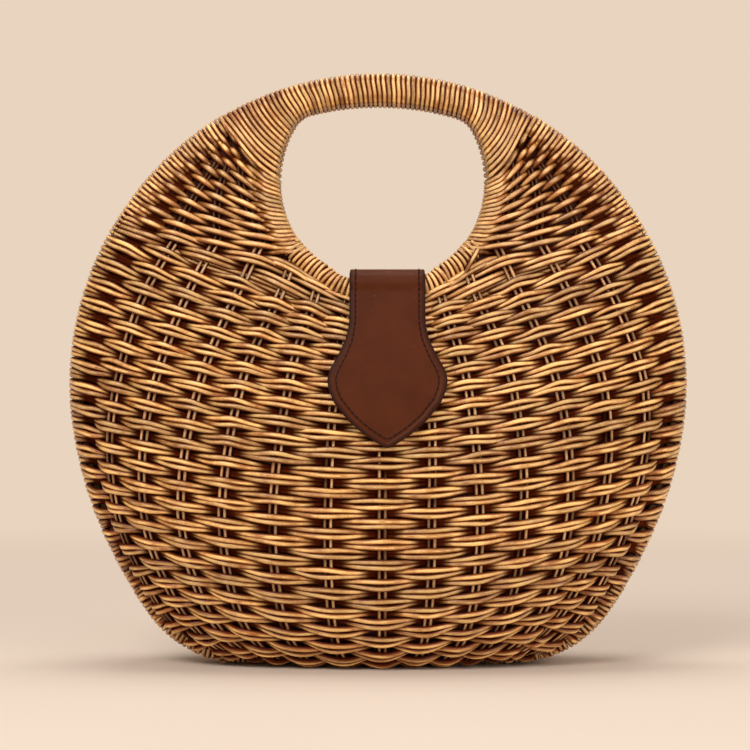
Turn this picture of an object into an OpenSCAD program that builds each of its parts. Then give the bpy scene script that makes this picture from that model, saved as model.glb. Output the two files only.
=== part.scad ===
// Round woven cane handbag: a basket body with a mouth between two handles,
// closed by a leather strap. Millimetres, +Z up, strap side towards -Y.
// The origin is the middle of the flat base, in the plane between the halves.

/* [Outline] */
// Height of the bag to the top of the handles
bag_h = 305; // [240:1:380]
// Radius of the round outline
bag_r = 160; // [130:1:190]
// How much the flatter lower flanks' radius exceeds the height of the round top's centre
flank_extra = 80; // [45:1:115]
// Angle below the middle where the flanks start
flank_start = 10; // [4:1:16]
// Radius where the flanks turn into the base
corner_r = 60; // [40:1:64]

/* [Depth] */
// Half the depth of the belly, to the middle of the woven wall
belly_y = 50; // [36:1:60]
// Height at which the belly is deepest
belly_z = 100; // [80:1:120]
// Half the depth of the flat base
base_y = 22; // [14:1:28]
// How square the section through the belly is at the base
base_share = 3.5; // [2.4:0.1:4.5]
// Rise of the belly's lower edge towards the sides, as the radius of its arc
keel_r = 240; // [200:1:320]

/* [Weave] */
// Thickness of the woven wall
wall_t = 5; // [4:0.1:6]
// How deep the weave sinks where the strands pass under a stake
weave_depth = 3; // [1:0.1:3]
// Height of a row of paired strands
row_h = 5; // [4.5:0.1:7]
// How far the rows rise towards the rim
row_rise = 10; // [0:0.5:14]
// Number of upright stakes on each side of the middle one
stakes_each_side = 6; // [4:1:7]
// Width of a pair of stakes
stake_w = 5; // [3:0.1:6]
// Thickness of a stake
stake_t = 2.4; // [1.8:0.1:3]
// Radius of the canes round the rim and the hand hole
cane_r = 3; // [2.4:0.1:3.6]
// Radius of the wound strand
strand_r = 1.2; // [0.9:0.05:1.3]
// Loops of strand round each handle
handle_loops = 24; // [12:1:24]
// Loops of strand round the lower edge of each hand hole
ring_loops = 16; // [10:1:18]

/* [Handles] */
// Radius of the hand hole
hole_r = 52.8; // [44:0.2:56]
// How far the hand hole's centre lies below the top
hole_drop = 55.2; // [49:0.2:65]
// How far the hand hole sits to the right of the middle
hole_shift = 2.4; // [0:0.2:4]
// Radius of the hand hole's upper corners
hole_corner_r = 13; // [8:0.5:20]
// Height of a handle, from the hole to the outline
handle_h = 17.2; // [15:0.1:20]
// Half angle of the wound stretch of a handle
wound_half = 20; // [16:0.5:24]
// How far the front and back come apart below the hand hole's centre
split_drop = 31.8; // [24:0.2:38]
// Clearance on each side of that split
split_gap = 0.4; // [0.3:0.1:0.8]
// Gap between the front and back handles
meet_gap = 0.6; // [0.6:0.1:1]

/* [Strap] */
// Width of the strap
strap_w = 37.6; // [30:0.2:44]
// Widest part of the strap's tongue
tongue_w = 59.6; // [46:0.2:64]
// How far the tongue's tip lies below the hand hole's centre
tip_drop = 136.8; // [126:0.2:146]
// Height of the tongue's widest part above its tip
wide_rise = 34; // [27:1:41]
// How far the strap sits to the right of the middle
strap_shift = 4.6; // [0:0.2:6]
// Thickness of the outer leather
leather_t = 1.5; // [1.2:0.1:1.8]
// Thickness of the lining leather
backing_t = 1.1; // [0.9:0.1:1.4]
// Clearance of the strap above the rings
strap_gap = 0.4; // [0.3:0.1:0.8]
// Stand-off of the tongue from the woven wall
tongue_gap = 3.6; // [3.4:0.1:5]
// Length of the tab that fixes the strap at the back
tab_h = 38; // [30:1:46]

/* [Hardware] */
// Radius of the magnetic catch
catch_r = 8; // [6:0.5:9]
// Thickness of the catch's lower half
catch_t = 2.2; // [1.8:0.1:2.4]
// Height of the catch above the tongue's tip
catch_rise = 28; // [21:1:33]
// Radius of a rivet's head
rivet_r = 4; // [3:0.1:5]
// Radius of a rivet's shank
shank_r = 1.4; // [1.2:0.1:1.6]
// Clearance of a rivet from the middle stake
rivet_gap = 0.3; // [0.2:0.1:0.5]

/* [Lining] */
// Thickness of the cloth lining
lining_t = 1; // [0.8:0.1:1.4]
// Clearance between the lining and the woven wall
lining_gap = 1.6; // [1.2:0.1:2]

/* [Hidden] */

cane_colour = "#b5813f";
core_colour = "#9a6a32";
stake_colour = "#8a5a2c";
leather_colour = "#5a2f21";
backing_colour = "#6b3b29";
cloth_colour = "#33211a";
brass_colour = "#b08d4f";

// Heights that follow the top of the bag
hole_z = bag_h - hole_drop;
split_z = hole_z - split_drop;
tongue_tip_z = hole_z - tip_drop;
tongue_wide_z = tongue_tip_z + wide_rise;
catch_z = tongue_tip_z + catch_rise;

// Outline: the round top, the flanks and the corners of the base
round_z = bag_h - bag_r;
flank_r = round_z + flank_extra;
flank_x = bag_r * cos(flank_start) - flank_r * cos(flank_start);
flank_z = round_z + (flank_r - bag_r) * sin(flank_start);
corner_x = flank_x + sqrt(pow(flank_r - corner_r, 2) - pow(corner_r - flank_z, 2));
corner_angle = atan2(flank_z - corner_r, corner_x - flank_x);
flank_top_z = round_z - bag_r * sin(flank_start);
flank_foot_z = flank_z - flank_r * sin(corner_angle);

// Half the width of the outline at a height, drawn in by an inset
function half_w(z, inset) =
  z > flank_top_z ? sqrt(max(0, pow(bag_r - inset, 2) - pow(z - round_z, 2)))
  : z > flank_foot_z ? flank_x + sqrt(max(0, pow(flank_r - inset, 2) - pow(z - flank_z, 2)))
  : corner_x + sqrt(max(0, pow(corner_r - inset, 2) - pow(corner_r - z, 2)));

// Depth of the bag at a height, from the middle plane to the wall's middle
cover = 2 * strand_r + 0.1 * strand_r;
rim_y = cane_r + cover + meet_gap / 2;
bar_r = bag_r - cover - cane_r;
ring_off = cover + cane_r;
hole_top_z = round_z + bag_r - handle_h;
foot_share = 1 - pow(1 - pow(base_y / belly_y, base_share), 1 / base_share);
foot_z = (wall_t / 2 - foot_share * belly_z) / (1 - foot_share);
function depth(z) =
  z < belly_z
  ? belly_y * pow(max(0, 1 - pow(1 - max(0, (z - foot_z) / (belly_z - foot_z)), base_share)),
                  1 / base_share)
  : z < hole_top_z
  ? rim_y + (belly_y - rim_y) * (1 - pow((z - belly_z) / (hole_top_z - belly_z), 1.25))
  : rim_y;

// Distance of the wall's middle from the plane y = 0, at a place in the front view
edge_share = 16;
function wall_y(x, z, inset = wall_t / 2) =
  let (s = min(1, abs(x) / max(stake_t, half_w(z, inset))))
  rim_y * sqrt(1 - pow(s, edge_share)) + (depth(z) - rim_y) * sqrt(1 - s * s);

// The hand hole's edge, from the bottom (0) round to the top (1), moved out by off.
// shift is the hole's shift towards the side drawn, so the left side takes it negative.
function corner_c(shift) =
  let (a = hole_r - hole_corner_r, b = bag_r - handle_h - hole_corner_r, dz = hole_z - round_z,
       d = norm([shift, dz]), m = (b * b - a * a + d * d) / (2 * d), h = sqrt(b * b - m * m),
       ux = shift / d, uz = dz / d)
  [m * ux + h * uz, round_z + m * uz - h * ux];
function hole_pt(s, off, shift) =
  let (c = corner_c(shift),
       a1 = atan2(c[1] - hole_z, c[0] - shift), a2 = atan2(c[1] - round_z, c[0]),
       n1 = (a1 + 90) * hole_r, n2 = (a2 - a1) * hole_corner_r,
       n3 = (90 - a2) * (bag_r - handle_h), t = s * (n1 + n2 + n3))
  t < n1 ? let (a = -90 + t / hole_r)
    [shift + (hole_r + off) * cos(a), hole_z + (hole_r + off) * sin(a)]
  : t < n1 + n2 ? let (a = a1 + (t - n1) / hole_corner_r)
    [c[0] + (hole_corner_r + off) * cos(a), c[1] + (hole_corner_r + off) * sin(a)]
  : let (a = a2 + (t - n1 - n2) / (bag_r - handle_h), r = bag_r - handle_h + off)
    [r * cos(a), round_z + r * sin(a)];
// Share of the hole's edge at which it crosses a height, below its middle
function hole_s(z, off, shift) =
  let (c = corner_c(shift),
       a1 = atan2(c[1] - hole_z, c[0] - shift), a2 = atan2(c[1] - round_z, c[0]),
       whole = (a1 + 90) * hole_r + (a2 - a1) * hole_corner_r + (90 - a2) * (bag_r - handle_h))
  (asin((z - hole_z) / (hole_r + off)) + 90) * hole_r / whole;
function bar_s(angle, shift) =
  let (c = corner_c(shift),
       a1 = atan2(c[1] - hole_z, c[0] - shift), a2 = atan2(c[1] - round_z, c[0]),
       n3 = (90 - a2) * (bag_r - handle_h),
       whole = (a1 + 90) * hole_r + (a2 - a1) * hole_corner_r + n3)
  1 - angle * (bag_r - handle_h) / whole;

// The lower edge of the hole is flattened where the strap lies on it
saddle_w = 60;
function flat_d(d) = abs(d) < saddle_w / 2 ? d * pow(abs(d) / (saddle_w / 2), 0.8) : d;
function dip_z(d, r) = hole_z - sqrt(max(0, r * r - pow(flat_d(d), 2)));

// Top edge of the woven wall: level, and down round the lower edge of the hand hole
wall_top = split_z - split_gap;
ring_r = hole_r + ring_off;
function top_z(x, drop = 0) =
  let (d = x - hole_shift, r = ring_r + drop, dip = dip_z(d, r))
  abs(d) < r && dip < wall_top - drop ? dip : wall_top - drop;

// A point of the wall's middle: tau is the angle across, z the height before the dip.
// drop lowers the top edge.
function keel(x, z) =
  z > belly_z ? 0
  : (keel_r - sqrt(keel_r * keel_r - x * x)) * pow(depth(z) / belly_y, 2)
    * pow(1 - z / belly_z, 2) * 1.6;
function wall_pt(tau, z, drop = 0) =
  let (x = half_w(z, wall_t / 2) * sin(tau), zz = z * top_z(x, drop) / wall_top)
  [x, abs(tau) < 90 ? -wall_y(x, zz) : 0, zz + keel(x, zz) * cos(tau)];

// Heights of the rows of points of the plain surfaces, closer together near the base
low_rows = 4;
high_rows = 4;
row_z = concat(
  [for (i = [0 : low_rows])
    let (a = asin(pow(base_y / belly_y, base_share / 2)), f = a + (90 - a) * i / low_rows)
    foot_z + (belly_z - foot_z) * (1 - pow(cos(f), 2 / base_share))],
  [for (i = [1 : high_rows]) belly_z + (wall_top - belly_z) * i / high_rows]);
lining_across = 6;
function spread(n) = [for (j = [-n : n]) let (s = j / n) 90 * (1.25 * s - 0.25 * s * s * s)];

function unit(v) = v / norm(v);
function mirrored(p) = [p[0], -p[1], p[2]];

// One closed loop of the basket at a row: the front from left to right, then the back
function loop_pts(angles, z, drop) =
  let (front = [for (t = angles) wall_pt(t, z, drop)])
  concat(front, [for (j = [len(front) - 2 : -1 : 1]) mirrored(front[j])]);

// Moves a grid of loops along its normals
function normal_at(rows, i, j) =
  let (m = len(rows[0]), n = len(rows),
       across_v = rows[i][(j + 1) % m] - rows[i][(j + m - 1) % m],
       up_v = rows[min(n - 1, i + 1)][j] - rows[max(0, i - 1)][j])
  unit(cross(across_v, up_v));
function grown(rows, by) =
  [for (i = [0 : len(rows) - 1]) [for (j = [0 : len(rows[0]) - 1])
    rows[i][j] + by * normal_at(rows, i, j)]];

// A cup: outer and inner loops, flat on its base at floor_z
module cup(outer, inner, floor_z, floor_t) {
  m = len(outer[0]);
  flat_out = [for (p = outer[0]) [p[0], p[1], floor_z]];
  flat_in = [for (p = inner[0]) [p[0], p[1], floor_z + floor_t]];
  rings = concat([flat_out], [for (i = [1 : len(outer) - 1]) outer[i]],
                 [for (i = [len(inner) - 1 : -1 : 1]) inner[i]], [flat_in]);
  sides = [for (i = [0 : len(rings) - 2]) for (j = [0 : m - 1])
    let (a = i * m + j, b = i * m + (j + 1) % m)
    each [[a, b + m, b], [a, a + m, b + m]]];
  last = (len(rings) - 1) * m;
  half = m / 2;
  caps = concat(
    [for (j = [0 : half - 1]) let (a = j, b = j + 1, c = (m - j) % m, d = m - j - 1)
      each (j == 0 ? [[a, b, d]] : j == half - 1 ? [[a, b, c]] : [[a, b, d], [a, d, c]])],
    [for (j = [0 : half - 1]) let (a = last + j, b = last + j + 1, c = last + (m - j) % m,
                                    d = last + m - j - 1)
      each (j == 0 ? [[a, d, b]] : j == half - 1 ? [[a, c, b]] : [[a, d, b], [a, c, d]])]);
  polyhedron([for (r = rings) each r], concat(sides, caps));
}

// A tube along points, with a normal at each, closed at both ends
module tube(pts, nrms, rx, ry, sides) {
  n = len(pts);
  rings = [for (i = [0 : n - 1])
    let (t = unit(pts[min(n - 1, i + 1)] - pts[max(0, i - 1)]),
         b = unit(cross(t, nrms[i])), a = cross(b, t))
    for (k = [0 : sides - 1])
      let (w = 360 * (k + 0.5) / sides) pts[i] + rx * cos(w) * b + ry * sin(w) * a];
  walls = [for (i = [0 : n - 2]) for (k = [0 : sides - 1])
    let (a = i * sides + k, b = i * sides + (k + 1) % sides)
    each [[a, b, b + sides], [a, b + sides, a + sides]]];
  ends = concat([[for (k = [sides - 1 : -1 : 0]) k]],
                [[for (k = [0 : sides - 1]) (n - 1) * sides + k]]);
  polyhedron(rings, concat(walls, ends));
}

// A plate between two grids of the same size
module plate(front, rear) {
  n = len(front);
  m = len(front[0]);
  pts = concat([for (r = front) each r], [for (r = rear) each r]);
  half = n * m;
  faces = [for (i = [0 : n - 2]) for (j = [0 : m - 2]) let (a = i * m + j)
    each [[a, a + m + 1, a + 1], [a, a + m, a + m + 1],
          [half + a, half + a + 1, half + a + m + 1], [half + a, half + a + m + 1, half + a + m]]];
  loop = concat([for (j = [0 : m - 1]) j], [for (i = [1 : n - 1]) i * m + m - 1],
                [for (j = [m - 2 : -1 : 0]) (n - 1) * m + j], [for (i = [n - 2 : -1 : 1]) i * m]);
  rim = [for (k = [0 : len(loop) - 1]) let (a = loop[k], b = loop[(k + 1) % len(loop)])
    each [[a, b, half + b], [a, half + b, half + a]]];
  polyhedron(pts, concat(faces, rim));
}

module back_of() { mirror([0, 1, 0]) children(); }
module side_of(side) { mirror([side < 0 ? 1 : 0, 0, 0]) children(); }

// Stakes: pairs of thin canes that fan out from the hand hole and the ears
fan_foot_angle = 80.4;
fan_draw_angle = 45;
fan_spread_angle = 9.8;
function stake_tau(k, z) =
  let (u = k / stakes_each_side)
  u * (fan_foot_angle - fan_draw_angle * z / split_z)
  + u * abs(u) * fan_spread_angle * z / split_z;

// Columns of the weave: one on each stake, one beside the rim, the rim itself
last_column = stakes_each_side + 2;
rim_shares = [0, 0.36, 0.68, 1];
columns = concat([-last_column, 0.5 - last_column, 1 - last_column],
                 [for (k = [-stakes_each_side : stakes_each_side]) k],
                 [last_column - 1, last_column - 0.5, last_column]);
function column_tau(c, z) =
  let (k = min(abs(c), stakes_each_side), t = stake_tau(k, z),
       part = ceil(2 * max(0, abs(c) - stakes_each_side - 0.5)))
  sign(c) * (t + (90 - t) * rim_shares[part]);
function column_of(j) =
  let (n = len(columns)) j < n ? columns[j] : columns[2 * n - 2 - j];

// Rows of equal height up the wall's middle section, rising towards the rim
section_steps = 80;
section_z = [for (i = [0 : section_steps])
  wall_t / 2 + (wall_top - wall_t / 2) * pow(i / section_steps, 1.6)];
section_step = [for (i = [0 : section_steps]) i == 0 ? 0
  : norm([section_z[i] - section_z[i - 1], depth(section_z[i]) - depth(section_z[i - 1])])];
section = [for (i = 0, run = 0; i <= section_steps;
                i = i + 1, run = run + section_step[min(i, section_steps)])
  [run, section_z[i]]];
weave_rows = round(section[section_steps][0] / row_h);
weave_z = [for (i = [0 : weave_rows])
  lookup(section[section_steps][0] * i / weave_rows, section)];
function weave_loop(z) =
  let (rise = row_rise * sin(180 * z / wall_top) / wall_top,
       front = [for (c = columns) let (t = column_tau(c, z))
         wall_pt(t, z * (1 + rise * pow(sin(t), 2)))])
  concat(front, [for (j = [len(front) - 2 : -1 : 1]) mirrored(front[j])]);

// Each row passes over one stake and under the next, and the row above the other way round
function sunk_share(i, c) =
  i < 2 || i == weave_rows || abs(c) == last_column ? 0
  : abs(c) > last_column - 1 ? 0.4 : (i + abs(c)) % 2;
module woven_body() {
  rows = [for (z = weave_z) weave_loop(z)];
  outer = [for (i = [0 : weave_rows]) [for (j = [0 : len(rows[0]) - 1])
    rows[i][j] + (wall_t / 2 - weave_depth * sunk_share(i, column_of(j))) * normal_at(rows, i, j)]];
  inner = grown([for (z = row_z) weave_loop(z)], -wall_t / 2);
  color(cane_colour) cup(outer, inner, 0, wall_t);
}

// The lining hangs inside, clear of the canes and of the winding on the rings
lining_side = cover + 2 * cane_r + lining_gap / 2;
lining_drop = ring_off + lining_gap + lining_t;
function drawn_in(rows, by) =
  [for (r = grown(rows, -wall_t / 2 - lining_gap - by)) [for (p = r)
    let (z = max(p[2], lining_side + by), w = half_w(z, lining_side + by))
    [max(-w, min(w, p[0])), p[1], z]]];
module lining() {
  rows = [for (z = row_z) loop_pts(spread(lining_across), z, lining_drop)];
  color(cloth_colour) cup(drawn_in(rows, 0), drawn_in(rows, lining_t), lining_side, lining_t);
}

stake_rows = 7;
stake_foot = 2 * wall_t;
stake_end = wall_top - ring_off - 2 * stake_t;
module wall_stake(k) {
  pts = [for (i = [0 : stake_rows])
    let (z = stake_foot + (stake_end - stake_foot) * i / stake_rows)
    wall_pt(stake_tau(k, z), z)];
  nrms = [for (i = [0 : stake_rows]) [sin(stake_tau(k, stake_foot)), -1, 0]];
  tube(pts, nrms, stake_w / 2, stake_t / 2, 4);
}
module wall_stakes() {
  color(stake_colour)
    for (k = [-stakes_each_side : stakes_each_side]) wall_stake(k);
}
module front_stakes() { wall_stakes(); }
module back_stakes() { back_of() wall_stakes(); }

// Canes round the rim, in arcs that follow the outline
low_angle = asin((wall_top - round_z) / (bar_r + cane_r));
high_angle = asin((split_z + split_gap - round_z) / (bar_r - cane_r));
function arc_pts(centre, r, from, to, n) =
  [for (i = [0 : n]) let (a = from + (to - from) * i / n)
    [centre[0] + r * cos(a), -rim_y, centre[1] + r * sin(a)]];
module rim_cane() {
  inset = cover + cane_r;
  corner = arc_pts([corner_x, corner_r], corner_r - inset, -90, -corner_angle, 6);
  flank = arc_pts([flank_x, flank_z], flank_r - inset, -corner_angle, -flank_start, 7);
  round = arc_pts([0, round_z], bar_r, -flank_start, low_angle, 8);
  right = concat(corner, [for (i = [1 : 7]) flank[i]], [for (i = [1 : 8]) round[i]]);
  n = len(right);
  pts = concat([for (i = [n - 1 : -1 : 0]) [-right[i][0], right[i][1], right[i][2]]], right);
  color(core_colour) tube(pts, [for (p = pts) [0, -1, 0]], cane_r, cane_r, 8);
}
module front_rim_cane() { rim_cane(); }
module back_rim_cane() { back_of() rim_cane(); }
module handle_cane() {
  color(core_colour) translate([0, -rim_y, round_z]) rotate([90, 0, 0])
    rotate([0, 0, high_angle]) rotate_extrude(angle = 180 - 2 * high_angle, $fn = 96)
      translate([bar_r, 0]) circle(r = cane_r, $fn = 24);
}
module front_handle_cane() { handle_cane(); }
module back_handle_cane() { back_of() handle_cane(); }

// Canes round the hand hole: the lower arc stays with the basket, the rest with the handle
end_share = 0.6;
ring_end_z = wall_top - end_share * ring_off;
ring_angle = -asin((ring_end_z - hole_z) / ring_r);
function ring_core(a) =
  let (d = ring_r * cos(a), z = dip_z(d, ring_r))
  [hole_shift + d, -wall_y(hole_shift + d, z), z];
ring_rows = 24;
module ring_cane() {
  pts = [for (i = [0 : ring_rows])
    ring_core(-180 + ring_angle + (180 - 2 * ring_angle) * i / ring_rows)];
  color(core_colour) tube(pts, [for (p = pts) [0, -1, 0]], cane_r, cane_r, 8);
}
module front_ring_cane() { ring_cane(); }
module back_ring_cane() { back_of() ring_cane(); }

hole_start_z = split_z + split_gap + end_share * ring_off;
hole_rows = 16;
function hole_side(shift) =
  let (s0 = hole_s(hole_start_z, ring_off, shift))
  [for (i = [0 : hole_rows])
    let (p = hole_pt(s0 + (1 - s0) * i / hole_rows, ring_off, shift))
    [p[0], -wall_y(p[0], p[1]), p[1]]];
module hole_cane() {
  right = hole_side(hole_shift);
  left = hole_side(-hole_shift);
  pts = concat([for (p = left) [-p[0], p[1], p[2]]],
               [for (i = [hole_rows - 1 : -1 : 0]) right[i]]);
  color(core_colour) tube(pts, [for (p = pts) [0, -1, 0]], cane_r, cane_r, 8);
}
module front_hole_cane() { hole_cane(); }
module back_hole_cane() { back_of() hole_cane(); }

// Windings: one unbroken strand each, with a straight end along the cane
wind_r = cane_r + 1.2 * strand_r;
function least_gap(pts, apart) =
  min([for (i = [0 : len(pts) - 1 - apart]) for (j = [i + apart : len(pts) - 1])
    norm(pts[i] - pts[j])]) - 2 * strand_r;
module winding(pts, cores, apart, name) {
  n = len(pts) - 1;
  lead = 2 * strand_r;
  t0 = unit(cores[1] - cores[0]);
  t1 = unit(cores[n] - cores[n - 1]);
  all_pts = concat([pts[0] - lead * t0], pts, [pts[n] + lead * t1]);
  outs = [for (i = [0 : n]) unit(pts[i] - cores[i])];
  echo(str(name, ": least gap of the strand to itself ", least_gap(pts, apart), " mm"));
  tube(all_pts, concat([outs[0]], outs, [outs[n]]), strand_r, strand_r, 6);
}

ring_steps = 8;
ring_lead_angle = 3;
module ring_winding() {
  n = ring_loops * ring_steps;
  from = -180 + ring_angle + ring_lead_angle;
  span = 180 - 2 * (ring_angle + ring_lead_angle);
  cores = [for (i = [0 : n]) ring_core(from + span * i / n)];
  pts = [for (i = [0 : n])
    let (t = unit(cores[min(n, i + 1)] - cores[max(0, i - 1)]), u = unit(cross([0, -1, 0], t)),
         v = cross(t, u), a = 360 * i / ring_steps)
    cores[i] + wind_r * (sin(a) * u + cos(a) * v)];
  color(cane_colour) winding(pts, cores, ring_steps - 2, "ring winding");
}
module front_ring_winding() { ring_winding(); }
module back_ring_winding() { back_of() ring_winding(); }

handle_steps = 8;
wound_lead_angle = 1.4;
module handle_winding() {
  n = handle_loops * handle_steps;
  mid_r = bag_r - handle_h / 2;
  half_bar = handle_h / 2 - cover - cane_r;
  from = 90 + wound_half - wound_lead_angle;
  span = 2 * (wound_half - wound_lead_angle);
  angles = [for (i = [0 : n]) from - span * i / n];
  cores = [for (w = angles) [mid_r * cos(w), -rim_y, round_z + mid_r * sin(w)]];
  pts = [for (i = [0 : n])
    let (a = 360 * i / handle_steps, w = angles[i],
         up = half_bar * max(-1, min(1, 2 * sin(a))) + wind_r * sin(a))
    cores[i] + up * [cos(w), 0, sin(w)] + [0, -wind_r * cos(a), 0]];
  color(cane_colour) winding(pts, cores, handle_steps - 2, "handle winding");
}
module front_handle_winding() { handle_winding(); }
module back_handle_winding() { back_of() handle_winding(); }

// Ears: the woven and wrapped cheeks between the hand hole and the rim
ear_rows = 12;
ear_cols = 5;
ear_edge = strand_r / 2;
ear_low = split_z + split_gap;
function ear_grid(shift, side) =
  let (s0 = hole_s(ear_low, ring_off, shift), s1 = bar_s(wound_half, shift),
       a0 = asin((ear_low - round_z) / bar_r), a1 = 90 - wound_half,
       full = rim_y - meet_gap / 2)
  [for (i = [0 : ear_rows])
    let (q = i / ear_rows, qq = q * q,
         inner = hole_pt(s0 + (s1 - s0) * q, ring_off + (ear_edge - ring_off) * qq, shift),
         r = bar_r + (bag_r - ear_edge - bar_r) * qq, a = a0 + (a1 - a0) * q,
         outer = [r * cos(a), round_z + r * sin(a)],
         half_t = wall_t / 2 + (full - wall_t / 2) * qq)
    [for (j = [0 : ear_cols])
      let (p = inner + (outer - inner) * j / ear_cols,
           x = p[0], z = i == 0 ? ear_low : p[1], y = max(rim_y, wall_y(x, z)))
      [x, side < 0 ? -y - half_t : min(-meet_gap / 2, half_t - y), z]]];
module ear(side) {
  shift = side * hole_shift;
  color(cane_colour) side_of(side) plate(ear_grid(shift, -1), ear_grid(shift, 1));
}
module front_left_ear() { ear(-1); }
module front_right_ear() { ear(1); }
module back_left_ear() { back_of() ear(-1); }
module back_right_ear() { back_of() ear(1); }

// Stakes that run on into the ears and draw together at the apex
apex_rise = 6.2;
apex_share = 0.308;
step_share = 0.183;
ear_first = ceil(stakes_each_side * 0.6);
ear_stake_rows = 4;
// Between which a stake's middle keeps clear of the canes of the hole and of the rim
function ear_inner(z) =
  hole_shift + sqrt(max(0, ring_r * ring_r - pow(z - hole_z, 2))) + cane_r + stake_w / 2;
function ear_outer(z) = sqrt(bar_r * bar_r - pow(z - round_z, 2)) - cane_r - stake_w / 2;
module ear_stakes() {
  z0 = ear_low + stake_t;
  z1 = hole_z + apex_rise;
  last = stakes_each_side - ear_first;
  color(stake_colour) for (side = [-1, 1]) side_of(side) for (k = [0 : last]) {
    x0 = wall_pt(stake_tau(ear_first + k, split_z), wall_top)[0];
    from_share = max(0, (x0 - ear_inner(z0)) / (ear_outer(z0) - ear_inner(z0)));
    to_share = apex_share + (k - last / 2) * step_share;
    pts = [for (i = [0 : ear_stake_rows])
      let (q = i / ear_stake_rows, z = z0 + (z1 - z0) * q,
           f = from_share + (to_share - from_share) * pow(q, 1.2),
           x = ear_inner(z) + f * (ear_outer(z) - ear_inner(z)))
      [x, -max(rim_y, wall_y(x, z)), z]];
    tube(pts, [for (p = pts) [0, -1, 0]], stake_w / 2, stake_t / 2, 4);
  }
}
module front_ear_stakes() { ear_stakes(); }
module back_ear_stakes() { back_of() ear_stakes(); }

// Strap: it lies on both rings, bends down in front and ends in a pointed tongue
strap_t = leather_t + backing_t;
wound_r = wind_r + strand_r;
ring_y = wall_y(hole_shift, dip_z(0, ring_r));
edge_d = strap_w / 2 + abs(strap_shift - hole_shift);
strap_z = dip_z(edge_d, ring_r) + wound_r + strap_gap;
bend_r = wound_r + strap_gap;
bend_z = strap_z - bend_r;
bend_rows = 5;
tongue_rows = 14;
cross_rows = 3;
tongue_shares = [[0, 0.03], [0.1, 0.21], [0.22, 0.42], [0.41, 0.64], [0.66, 0.9], [0.85, 0.98],
                 [1, 1], [1.15, 0.94], [1.38, 0.79], [1.6, 0.68], [1.82, 0.631]];
function strap_half(z) =
  let (rise = (z - tongue_tip_z) / (tongue_wide_z - tongue_tip_z), w = lookup(rise, tongue_shares))
  rise > 1.82 ? strap_w / 2 : tongue_w / 2 * w;
function tongue_y(z, gap) = max(ring_y + bend_r, wall_y(strap_shift, z) + wall_t / 2 + gap);

// Points along the strap's middle line, as [y, z, half width], off from its inner face
function front_run(off) = concat(
  [for (i = [0 : cross_rows]) [ring_y - strap_gap - (2 * ring_y - strap_gap) * i / cross_rows,
                               strap_z + off, strap_w / 2]],
  [for (i = [1 : bend_rows]) let (a = 90 * i / bend_rows)
    [-ring_y - (bend_r + off) * sin(a), bend_z + (bend_r + off) * cos(a), strap_w / 2]],
  [for (i = [1 : tongue_rows]) let (z = bend_z + (tongue_tip_z - bend_z) * i / tongue_rows)
    [-tongue_y(z, tongue_gap) - off, z, strap_half(z)]]);
tab_rows = 6;
function tab_run(off) = concat(
  [for (i = [0 : bend_rows]) let (a = 90 * i / bend_rows)
    [ring_y + (bend_r + off) * sin(a), bend_z + (bend_r + off) * cos(a), strap_w / 2]],
  [for (i = [1 : tab_rows]) let (q = i / tab_rows, z = bend_z - tab_h * q)
    [tongue_y(z, strap_gap) + off, z, strap_w / 2 * (q < 1 ? 1 : 0.8)]]);
function band(run) = [for (r = run) [for (j = [-2 : 2]) [strap_shift + r[2] * j / 2, r[0], r[1]]]];

module strap_leather() {
  color(leather_colour) plate(band(front_run(backing_t)), band(front_run(strap_t)));
}
module strap_backing() {
  color(backing_colour) plate(band(front_run(0)), band(front_run(backing_t)));
}
module strap_tab() {
  color(leather_colour) plate(band(tab_run(strap_t)), band(tab_run(0)));
}

// Puts a piece on the wall, square to it: +Z of the piece points outwards
lean_step = 1;
function lean(z) = atan2(depth(z - lean_step) - depth(z + lean_step), 2 * lean_step);
module on_wall(x, z, out) {
  translate([x, -wall_y(x, z), z]) rotate([90 - lean(z), 0, 0]) translate([0, 0, out])
    children();
}
post_r = catch_r / 4;
washer_t = lining_gap / 2;
washer_seat = wall_t / 2 + washer_t / 4;
catch_seat = washer_seat;
recess_r = 0.65 * catch_r;
recess_t = catch_t / 2;
stud_t = tongue_gap - catch_t - 2 * washer_t / 4 - strap_gap / 2;
strap_seat = wall_t / 2 + tongue_gap;
module catch_socket() {
  color(brass_colour) on_wall(strap_shift, catch_z, catch_seat) {
    difference() {
      cylinder(h = catch_t, r = catch_r, $fn = 48);
      translate([0, 0, catch_t - recess_t]) cylinder(h = catch_t, r = recess_r, $fn = 48);
    }
    translate([0, 0, -wall_t]) cylinder(h = wall_t, r = post_r, $fn = 24);
  }
}
module socket_washer() {
  color(brass_colour) on_wall(strap_shift, catch_z, -washer_seat - washer_t)
    cylinder(h = washer_t, r = recess_r, $fn = 48);
}
module catch_stud() {
  reach = strap_seat * cos(lean(catch_z)) - stud_t;
  color(brass_colour) on_wall(strap_shift, catch_z, reach) {
    cylinder(h = stud_t, r = catch_r - strand_r, $fn = 48);
    translate([0, 0, -recess_t / 2]) cylinder(h = stud_t, r = post_r, $fn = 24);
    cylinder(h = stud_t + 0.8 * backing_t, r = post_r, $fn = 24);
  }
}
module stud_washer() {
  reach = strap_seat * cos(lean(catch_z)) + backing_t;
  color(brass_colour) on_wall(strap_shift, catch_z, reach)
    cylinder(h = leather_t / 3, r = recess_r, $fn = 48);
}

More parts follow.
